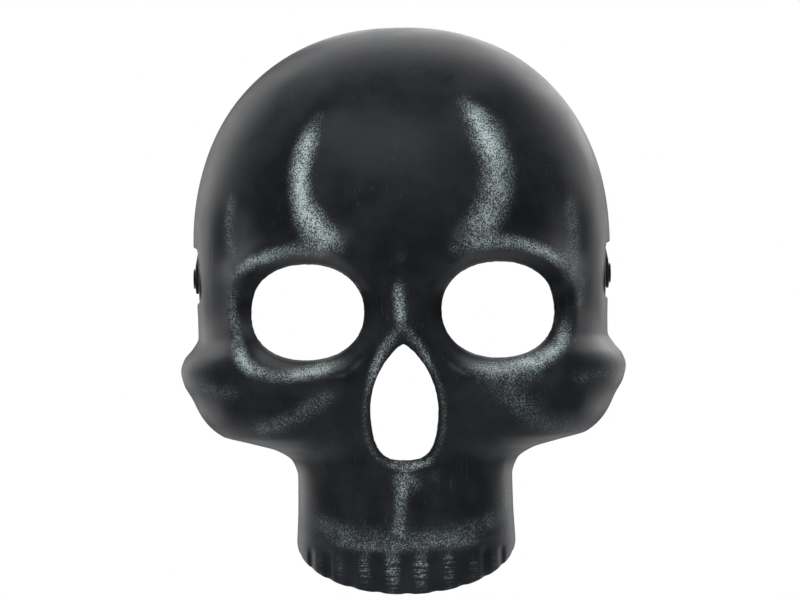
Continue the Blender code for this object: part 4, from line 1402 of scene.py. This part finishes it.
@dataclass(frozen=True)
class HeadStrap:
    """The elastic: two riveted sides, the sewn loop, the folded tail and its stitches."""

    seat: StrapSeat
    pivot: Vector
    width: float = 0.0120
    thickness: float = 0.0011
    gap: float = 0.0003
    rise_deg: float = 12.0
    reach: float = 0.1300
    straight: float = 0.0220
    back_half: float = 0.0460
    left_bar_x: float = -0.0118
    fold_bar_x: float = 0.0020
    bar_width: float = 0.0024
    slider_thickness: float = 0.0020
    slider_half: float = 0.0130
    leg_over_bar: float = 0.0035
    leg_fall: float = 0.0080
    tail_fall: float = 0.0090
    tail_inside: float = 0.0020
    sewn_leg: float = 0.0160
    tail: float = 0.0220
    cords: int = 9
    cord_depth: float = 0.00009
    spacing: float = 0.0011
    stitch_pitch: float = 0.0021
    stitch_length: float = 0.0016
    thread: float = 0.00019
    follow_start_x: float = 0.0800
    follow_end_x: float = 0.0450

    @property
    def lift(self) -> Matrix:
        """From the strap's own plane to its place behind the mask."""
        rise = Matrix.Rotation(math.radians(self.rise_deg), 4, "X")
        return Matrix.Translation(self.pivot) @ rise

    @property
    def x(self) -> float:
        """X of the middle of the strap's thickness on its seat."""
        return self.seat.x + self.gap + self.thickness / 2

    @property
    def outer_leg(self) -> float:
        """Y of a leg that passes over the slider."""
        return self.reach + self.thickness + 2 * self.gap + self.slider_thickness

    @property
    def resting_leg(self) -> float:
        """Y of a leg that lies back on its own band."""
        return self.reach + self.thickness + self.gap

    @property
    def left_fold(self) -> float:
        """Distance left of the middle where the left strap turns round its bar."""
        return -self.left_bar_x - self.bar_width / 2 + self.gap

    @property
    def right_fold(self) -> float:
        """X where the adjusting strap turns round the fold bar."""
        return self.fold_bar_x - self.bar_width / 2 + self.gap

    def side_route(self, end_x: float) -> list[tuple[float, float]]:
        """Centre line of a side from its tab's round end to end_x on the back run."""
        turn = np.radians(np.linspace(88, 6, 12))
        route = [(self.x, -self.width / 2 * math.sin(a)) for a in turn]
        route += [(self.x, y) for y in np.linspace(0, self.straight, 20)]
        across = self.x - self.back_half
        along = self.reach - self.straight
        for a in np.linspace(0, math.pi / 2, 120)[1:]:
            route.append((self.back_half + across * math.cos(a),
                          self.straight + along * math.sin(a)))
        count = max(2, int((self.back_half - end_x) / self.spacing))
        route += [(x, self.reach) for x in np.linspace(self.back_half, end_x, count)[1:]]
        return route

    def turn_round(self, bar_x: float) -> list[tuple[float, float]]:
        """Half circle from the inner leg round a bar to the outer leg."""
        middle = (self.reach + self.outer_leg) / 2
        radius = (self.outer_leg - self.reach) / 2
        return [(bar_x - radius * math.sin(a), middle - radius * math.cos(a))
                for a in np.linspace(0, math.pi, 15)]

    def come_down(self, start: float, length: float, run: float) -> list[tuple[float, float]]:
        """The outer leg's way down onto its band and its run along it."""
        t = np.linspace(0, 1, 14)[1:]
        ease = t * t * (3 - 2 * t)
        fall = self.outer_leg + (self.resting_leg - self.outer_leg) * ease
        route = list(zip(start + length * t, fall))
        far = np.linspace(start + length, start + length + run, int(run / self.spacing))[1:]
        return route + [(x, self.resting_leg) for x in far]

    def section(self, half: float) -> Points:
        """Ribbed outline across the band: (across, outward) points, counter-clockwise."""
        edge = self.thickness / 2
        flat = half - edge
        share = np.linspace(-1, 1, self.cords * 4 + 1)
        swell = self.cord_depth * (1 - np.abs(np.cos(share * self.cords * math.pi / 2)) ** 0.7)
        side = np.linspace(-math.pi / 2, math.pi / 2, 7)[1:-1]
        top = np.stack([share * flat, edge - swell], 1)
        right = np.stack([flat + edge * np.cos(side[::-1]), edge * np.sin(side[::-1])], 1)
        return np.concatenate([top, right, -top, -right])

    def band(self, name: str, route: list[tuple[float, float]], side: Side, hole: bool,
             finish: bpy.types.Material) -> bpy.types.Object:
        """Weave one band.

        Args:
            name: the piece's name.
            route: its centre line in the strap's plane, drawn for the right.
            side: the side it lies on.
            hole: whether its start is a round tab with a rivet hole.
            finish: the elastic.

        Returns:
            The band, in place.
        """
        line = np.array(route)
        step = np.gradient(line, axis=0)
        step /= np.linalg.norm(step, axis=1)[:, None]
        out = np.stack([step[:, 1], -step[:, 0]], 1)
        length = np.concatenate([[0], np.cumsum(np.linalg.norm(np.diff(line, axis=0), axis=1))])
        points = []
        across = []
        for (x, y), (ox, oy) in zip(line, out):
            half = self.width / 2
            if hole and y < 0:
                half = max(math.sqrt(max(half ** 2 - y ** 2, 0)), 0.0009)
            profile = self.section(half)
            for u, v in profile:
                points.append((side.value * (x + ox * v), y + oy * v, u))
                across.append(u)
        size = len(self.section(self.width / 2))
        faces = []
        for k in range(len(line) - 1):
            for j in range(size):
                n = (j + 1) % size
                a, b = k * size, (k + 1) * size
                quad = (a + j, a + n, b + n, b + j)
                faces.append(quad if side is Side.LEFT else quad[::-1])
        first = tuple(range(size))
        last = tuple(range((len(line) - 1) * size, len(line) * size))
        faces.append(first[::-1] if side is Side.LEFT else first)
        faces.append(last if side is Side.LEFT else last[::-1])
        mesh = mesh_from(name, np.array(points), faces)
        weave = mesh.uv_layers.new(name="weave")
        ring = np.repeat(length, size)
        corner = np.zeros(len(mesh.loops), int)
        mesh.loops.foreach_get("vertex_index", corner)
        weave.data.foreach_set("uv", np.stack([ring[corner], np.array(across)[corner]],
                                              1).astype(np.float32).ravel())
        mesh.transform(self.lift)
        mesh.set_sharp_from_angle(angle=math.radians(50))
        return link_object(name, mesh, finish)

    def follow(self, piece: bpy.types.Object) -> bpy.types.Object:
        """Bake a side's placement into its mesh."""
        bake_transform(piece)
        return piece

    def stitch_row(self, x: float, inset: float) -> Points:
        """A row of stitches across the band at x on the resting leg's outer face."""
        outside = self.resting_leg + self.thickness / 2 + self.thread * 0.4
        half = self.width / 2 - inset
        row = np.array([(x, outside, z) for z in np.linspace(-half, half, 12)])
        return np.array([self.lift @ Vector(p) for p in row])

    def build(self, wardrobe: Wardrobe, stitches: StitchTree) -> None:
        """Make the bands and sew them."""
        fall_end = self.left_fold + self.leg_over_bar + self.leg_fall
        left = self.side_route(self.left_fold)[:-1] + self.turn_round(self.left_fold)
        left += self.come_down(self.left_fold + self.leg_over_bar, self.leg_fall, self.sewn_leg)
        right = self.side_route(self.right_fold + self.gap)
        for side, route in ((Side.LEFT, left), (Side.RIGHT, right)):
            node = f"{side.word}_strap"
            piece = self.band(f"{side.word}_elastic", route, side, True, wardrobe.elastic)
            self.follow(piece)
            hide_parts(node)
            LOG.info("%s: %d faces", piece.name, len(piece.data.polygons))
        start = self.slider_half - self.tail_inside
        over = np.linspace(self.right_fold, start, 10)[1:]
        tail = self.turn_round(self.right_fold) + [(x, self.outer_leg) for x in over]
        tail += self.come_down(start, self.tail_fall, self.tail)
        piece = self.band("adjusting_tail", tail, Side.RIGHT, False, wardrobe.elastic)
        dress(piece, Body.SLIDER, Slot.ELASTIC, "strap_tail")
        sewn = [self.stitch_row(-(fall_end + self.sewn_leg * share), 0.0010)
                for share in (0.22, 0.34, 0.80, 0.92)]
        end = start + self.tail_fall + self.tail
        hem = [self.stitch_row(end - 0.0020, 0.0010), self.stitch_row(end - 0.0034, 0.0010)]
        for name, rows in (("loop_stitches", sewn), ("tail_stitches", hem)):
            piece = stitches.sew(name, rows, self.stitch_pitch, self.stitch_length, self.thread,
                                 wardrobe.thread)
            dress(piece, Body.SLIDER, Slot.ELASTIC)


@dataclass(frozen=True)
class SlideBuckle:
    """The moulded slider: a round-cornered frame with two bars and a fold bar."""

    strap: HeadStrap
    margin: float = 0.0028
    slot_clearance: float = 0.0004
    corner: float = 0.0022
    slot_corner: float = 0.0008
    rounding: float = 0.00045

    def rounded(self, low: tuple[float, float], high: tuple[float, float],
                corner: float) -> Points:
        """A rectangle with round corners, n by 2."""
        middle = [(high[0] - corner, high[1] - corner), (low[0] + corner, high[1] - corner),
                  (low[0] + corner, low[1] + corner), (high[0] - corner, low[1] + corner)]
        out = []
        for k, (x, z) in enumerate(middle):
            for a in np.linspace(k * math.pi / 2, (k + 1) * math.pi / 2, 8):
                out.append((x + corner * math.cos(a), z + corner * math.sin(a)))
        return np.array(out)

    def build(self, wardrobe: Wardrobe) -> None:
        """Make the slider and fix it to its body."""
        s = self.strap
        half_height = s.width / 2 + self.margin
        slot = s.width / 2 + self.slot_clearance
        fold_low = s.fold_bar_x - s.bar_width / 2
        fold_high = s.fold_bar_x + s.bar_width / 2
        inset = self.rounding
        outlines = [self.rounded((-s.slider_half + inset, -half_height + inset),
                                 (s.slider_half - inset, half_height - inset), self.corner)]
        windows = ((s.left_bar_x + s.bar_width / 2, fold_low),
                   (fold_high, s.slider_half - s.bar_width))
        for low, high in windows:
            outlines.append(self.rounded((low - inset, -slot - inset),
                                         (high + inset, slot + inset), self.slot_corner))
        curve = bpy.data.curves.new("slide_buckle", "CURVE")
        curve.dimensions = "2D"
        curve.fill_mode = "BOTH"
        curve.extrude = s.slider_thickness / 2 - inset
        curve.bevel_depth = inset
        curve.bevel_resolution = 3
        for outline in outlines:
            spline = curve.splines.new("POLY")
            spline.points.add(len(outline) - 1)
            spline.use_cyclic_u = True
            for point, (x, z) in zip(spline.points, outline):
                point.co = (x, z, 0.0, 1.0)
        flat = bpy.data.objects.new("slide_buckle_curve", curve)
        bpy.context.scene.collection.objects.link(flat)
        bpy.context.view_layer.update()
        graph = bpy.context.evaluated_depsgraph_get()
        mesh = bpy.data.meshes.new_from_object(flat.evaluated_get(graph))
        bpy.data.objects.remove(flat)
        bpy.data.curves.remove(curve)
        data = bmesh.new()
        data.from_mesh(mesh)
        bmesh.ops.remove_doubles(data, verts=data.verts, dist=1e-6)
        bmesh.ops.recalc_face_normals(data, faces=data.faces)
        data.to_mesh(mesh)
        data.free()
        middle = (s.reach + s.outer_leg) / 2
        stand = Matrix.Rotation(math.pi / 2, 4, "X")
        mesh.transform(s.lift @ Matrix.Translation((0, middle, 0)) @ stand)
        mesh.shade_smooth()
        mesh.set_sharp_from_angle(angle=math.radians(40))
        dress(link_object("slide_buckle", mesh, wardrobe.moulded), Body.SLIDER, Slot.SLIDER,
              "strap_slider")


@dataclass(frozen=True)
class TempleRivets:
    """The tubular rivets and washers that hold the strap ends."""

    seat: StrapSeat
    wall: float = 0.0015
    gap: float = 0.0003
    strap: float = 0.0011
    washer: float = 0.0007
    washer_radius: float = 0.0050
    head_radius: float = 0.0040
    head_height: float = 0.0006
    shank: float = 0.0016
    bore: float = 0.0008
    flare: float = 0.0011
    flare_height: float = 0.0007
    crown: float = 1.6
    lip_fall: float = 0.35
    roll: float = 0.45
    bore_step: float = 0.30
    ease: float = 0.00015
    segments: int = 64

    def turned(self, name: str, profile: list[tuple[float, float]], side: Side,
               finish: bpy.types.Material) -> bpy.types.Object:
        """Turn a closed (x, radius) profile about the rivet's axis."""
        data = bmesh.new()
        rings = []
        for x, radius in profile:
            turn = np.linspace(0, 2 * math.pi, self.segments, endpoint=False)
            rings.append([data.verts.new((side.value * (self.seat.x + x),
                                          self.seat.rivet_y + radius * math.cos(a),
                                          self.seat.rivet_z + radius * math.sin(a)))
                          for a in turn])
        for one, two in zip(rings, rings[1:] + rings[:1]):
            for k in range(self.segments):
                n = (k + 1) % self.segments
                data.faces.new((one[k], one[n], two[n], two[k]))
        bmesh.ops.recalc_face_normals(data, faces=data.faces)
        mesh = bpy.data.meshes.new(name)
        data.to_mesh(mesh)
        data.free()
        mesh.shade_smooth()
        mesh.set_sharp_from_angle(angle=math.radians(38))
        return link_object(name, mesh, finish)

    def rivet_profile(self) -> list[tuple[float, float]]:
        """Low domed head with a rolled bore, straight shank and rolled flare."""
        head = self.gap + self.strap + self.gap
        tip = -(self.wall + self.gap + self.washer + self.gap)
        dome = [(head + self.head_height * math.sin(a),
                 self.head_radius - self.head_height * self.crown * (1 - math.cos(a)))
                for a in np.linspace(0, math.pi / 2, 8)]
        lip = [(head + self.head_height * (1 - self.lip_fall * (1 - math.cos(a))),
                self.bore + self.head_height * (1 - math.sin(a)))
               for a in np.linspace(0, math.pi / 2, 6)]
        roll = [(tip - self.flare_height * math.sin(a),
                 self.shank + self.flare * (self.roll + (1 - self.roll) * math.cos(a)))
                for a in np.linspace(math.pi, 0, 12)]
        inner = [(tip - self.flare_height * self.bore_step, self.bore)]
        return dome + lip + inner + roll + [(tip, self.shank), (head, self.shank)]

    def washer_profile(self) -> list[tuple[float, float]]:
        """A flat ring with eased edges."""
        near = -(self.wall + self.gap)
        far = near - self.washer
        ease = self.ease
        hole = self.shank + self.gap
        out = self.washer_radius
        return [(near, hole + ease), (near, out - ease), (near - ease, out), (far + ease, out),
                (far, out - ease), (far, hole + ease), (far + ease, hole), (near - ease, hole)]

    def build(self, wardrobe: Wardrobe) -> None:
        """Make both rivets and both washers."""
        for side in Side:
            rivet = self.turned(f"{side.word}_temple_rivet", self.rivet_profile(), side,
                                wardrobe.enamel)
            dress(rivet, Body.SHELL, Slot.RIVET, f"{side.word}_rivet")
            washer = self.turned(f"{side.word}_backing_washer", self.washer_profile(), side,
                                 wardrobe.zinc)
            dress(washer, Body.SHELL, Slot.WASHER, f"{side.word}_washer")


@dataclass(frozen=True)
class FoamPads:
    """The comfort pads, puffed by a short cloth run from their solids."""

    nodes: tuple[str, ...] = ("forehead_pad", "left_cheek_pad", "right_cheek_pad")
    start_share: float = 0.955
    voxel: float = 0.00075
    pressure: float = 4.0
    skin_mass: float = 0.05
    frames: int = 20
    cap: float = 0.00030

    def build(self, wardrobe: Wardrobe) -> None:
        """Make the three pads."""
        for node in self.nodes:
            pad = self.soft_pad(node, wardrobe.foam)
            dress(pad, Body.SHELL, Slot.FOAM, node)

    def soft_pad(self, node: str, finish: bpy.types.Material) -> bpy.types.Object:
        """Puff one pad.

        Args:
            node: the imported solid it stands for.
            finish: the foam.

        Returns:
            The pad as a plain mesh, in place.
        """
        data = bmesh.new()
        data.from_mesh(frame["nodes"][node].data)
        bmesh.ops.remove_doubles(data, verts=data.verts, dist=1e-6)
        centre = sum((v.co for v in data.verts), Vector()) / len(data.verts)
        for v in data.verts:
            v.co = centre + (v.co - centre) * self.start_share
        mesh = bpy.data.meshes.new(node.replace("pad", "foam"))
        data.to_mesh(mesh)
        data.free()
        pad = link_object(mesh.name, mesh, finish)
        remesh = pad.modifiers.new("even skin", "REMESH")
        remesh.mode = "VOXEL"
        remesh.voxel_size = self.voxel
        settle(pad)
        self.puff(pad)
        soft = pad.modifiers.new("soft skin", "SUBSURF")
        soft.levels = 1
        soft.render_levels = 1
        settle(pad)
        pad.data.shade_smooth()
        pad.data.materials.clear()
        pad.data.materials.append(finish)
        return pad

    def puff(self, pad: bpy.types.Object) -> None:
        """Blow the skin up a little under pressure, never further than the cap."""
        rest = np.array([v.co for v in pad.data.vertices])
        cloth = pad.modifiers.new("puff", "CLOTH")
        cloth.settings.use_pressure = True
        cloth.settings.uniform_pressure_force = self.pressure
        cloth.settings.effector_weights.gravity = 0.0
        cloth.settings.mass = self.skin_mass
        cloth.point_cache.frame_start = 1
        cloth.point_cache.frame_end = self.frames
        scene = bpy.context.scene
        for step in range(1, self.frames + 1):
            scene.frame_set(step)
        settle(pad)
        scene.frame_set(1)
        move = np.array([v.co for v in pad.data.vertices]) - rest
        far = np.linalg.norm(move, axis=1)
        share = np.minimum(1.0, self.cap / np.maximum(far, 1e-9))
        puffed = rest + move * share[:, None]
        pad.data.vertices.foreach_set("co", puffed.astype(np.float32).ravel())
        pad.data.update()


@dataclass(frozen=True)
class Lamp:
    """A soft rectangular lamp that looks at the mask."""

    name: str
    place: tuple[float, float, float]
    size: tuple[float, float]
    power: float

    def hang(self) -> None:
        """Hang the lamp, turned to the origin."""
        lamp = bpy.data.lights.new(self.name, "AREA")
        lamp.shape = "RECTANGLE"
        lamp.size, lamp.size_y = self.size
        lamp.energy = self.power
        hung = bpy.data.objects.new(self.name, lamp)
        bpy.context.scene.collection.objects.link(hung)
        place = Vector(self.place)
        hung.location = place
        hung.rotation_euler = (-place).to_track_quat("-Z", "Y").to_euler()
        hung.visible_camera = False


@dataclass(frozen=True)
class Studio:
    """Pale floor, soft light and the front camera."""

    camera_distance: float = 1.90
    camera_x: float = -0.0010
    camera_z: float = 0.0042
    view_width: float = 0.3045
    roll_deg: float = -0.9
    floor_z: float = -0.150
    floor_radius: float = 0.60
    floor_solid_share: float = 0.45
    ambient: float = 0.13
    lamps: tuple[Lamp, ...] = (
        Lamp("left rear", (-0.95, 1.15, 0.30), (0.9, 1.6), 10.0),
        Lamp("right rear", (0.95, 1.15, 0.30), (0.9, 1.6), 10.0),
        Lamp("top rear", (0.0, 1.05, 1.20), (1.4, 0.8), 9.0),
        Lamp("front top", (-0.30, -1.20, 1.90), (2.2, 1.2), 40.0),
        Lamp("behind", (0.35, 1.70, 0.70), (1.2, 0.8), 8.0),
        Lamp("low front", (0.30, -1.50, -1.10), (1.8, 0.7), 12.0))

    def build(self) -> None:
        """Set the whole stage."""
        self.place_camera()
        self.lay_floor()
        self.light_world()
        for lamp in self.lamps:
            lamp.hang()
        bpy.context.scene.view_settings.view_transform = "Standard"

    def place_camera(self) -> None:
        """Look straight at the face from the wearer's eye height, a touch rolled."""
        lens = bpy.data.cameras.new("front")
        lens.sensor_width = 36.0
        lens.lens = lens.sensor_width * self.camera_distance / self.view_width
        lens.clip_end = 100.0
        camera = bpy.data.objects.new("front", lens)
        bpy.context.scene.collection.objects.link(camera)
        camera.location = (self.camera_x, -self.camera_distance, self.camera_z)
        level = Matrix.Rotation(math.pi / 2, 3, "X")
        camera.rotation_euler = (level @ Matrix.Rotation(math.radians(self.roll_deg), 3, "Z")
                                 ).to_euler()
        bpy.context.scene.camera = camera

    def lay_floor(self) -> None:
        """A pale round floor that fades out at its edge."""
        data = bmesh.new()
        bmesh.ops.create_circle(data, cap_ends=True, segments=96, radius=self.floor_radius)
        mesh = bpy.data.meshes.new("floor")
        data.to_mesh(mesh)
        data.free()
        mesh.transform(Matrix.Translation((0, 0, self.floor_z)))
        pale = bpy.data.materials.new("pale floor")
        pale.use_nodes = True
        b = Board(pale.node_tree)
        shader = pale.node_tree.nodes["Principled BSDF"]
        mottling = b.noise(b.place(), 9.0, 3.0)
        b.feed(shader.inputs["Base Color"], b.blend(mottling, (0.86, 0.86, 0.86, 1.0),
                                                    (0.90, 0.90, 0.90, 1.0)))
        shader.inputs["Roughness"].default_value = 0.9
        away = b.add("ShaderNodeVectorMath", operation="LENGTH")
        b.feed(away.inputs[0], b.place())
        full = self.floor_radius * self.floor_solid_share
        b.feed(shader.inputs["Alpha"],
               b.span(away.outputs["Value"], full, self.floor_radius, 1.0, 0.0))
        link_object("floor", mesh, pale)

    def light_world(self) -> None:
        """White to look at, soft grey as a light."""
        world = bpy.data.worlds.new("studio")
        world.use_nodes = True
        bpy.context.scene.world = world
        b = Board(world.node_tree)
        back = world.node_tree.nodes["Background"]
        seen = b.add("ShaderNodeLightPath").outputs["Is Camera Ray"]
        back.inputs["Color"].default_value = (1.0, 1.0, 1.0, 1.0)
        b.feed(back.inputs["Strength"], b.maths("MULTIPLY_ADD", seen, 1.0 - self.ambient,
                                                self.ambient))


def main() -> None:
    """Build every piece in order, then the stage."""
    logging.basicConfig(level=logging.INFO, format="%(name)s: %(message)s")
    wardrobe = Wardrobe()
    form = FaceForm()
    seat = StrapSeat(form)
    swing = next(joint for joint in frame["joints"] if joint["name"] == "strap_swing")
    strap = HeadStrap(seat, Vector(swing["pos_m"]))
    MaskShell(form, seat, DryBrush()).build(wardrobe.shell)
    TempleRivets(seat).build(wardrobe)
    strap.build(wardrobe, StitchTree(wardrobe.thread))
    SlideBuckle(strap).build(wardrobe)
    FoamPads().build(wardrobe)
    Studio().build()


if __name__ == "__main__":
    main()
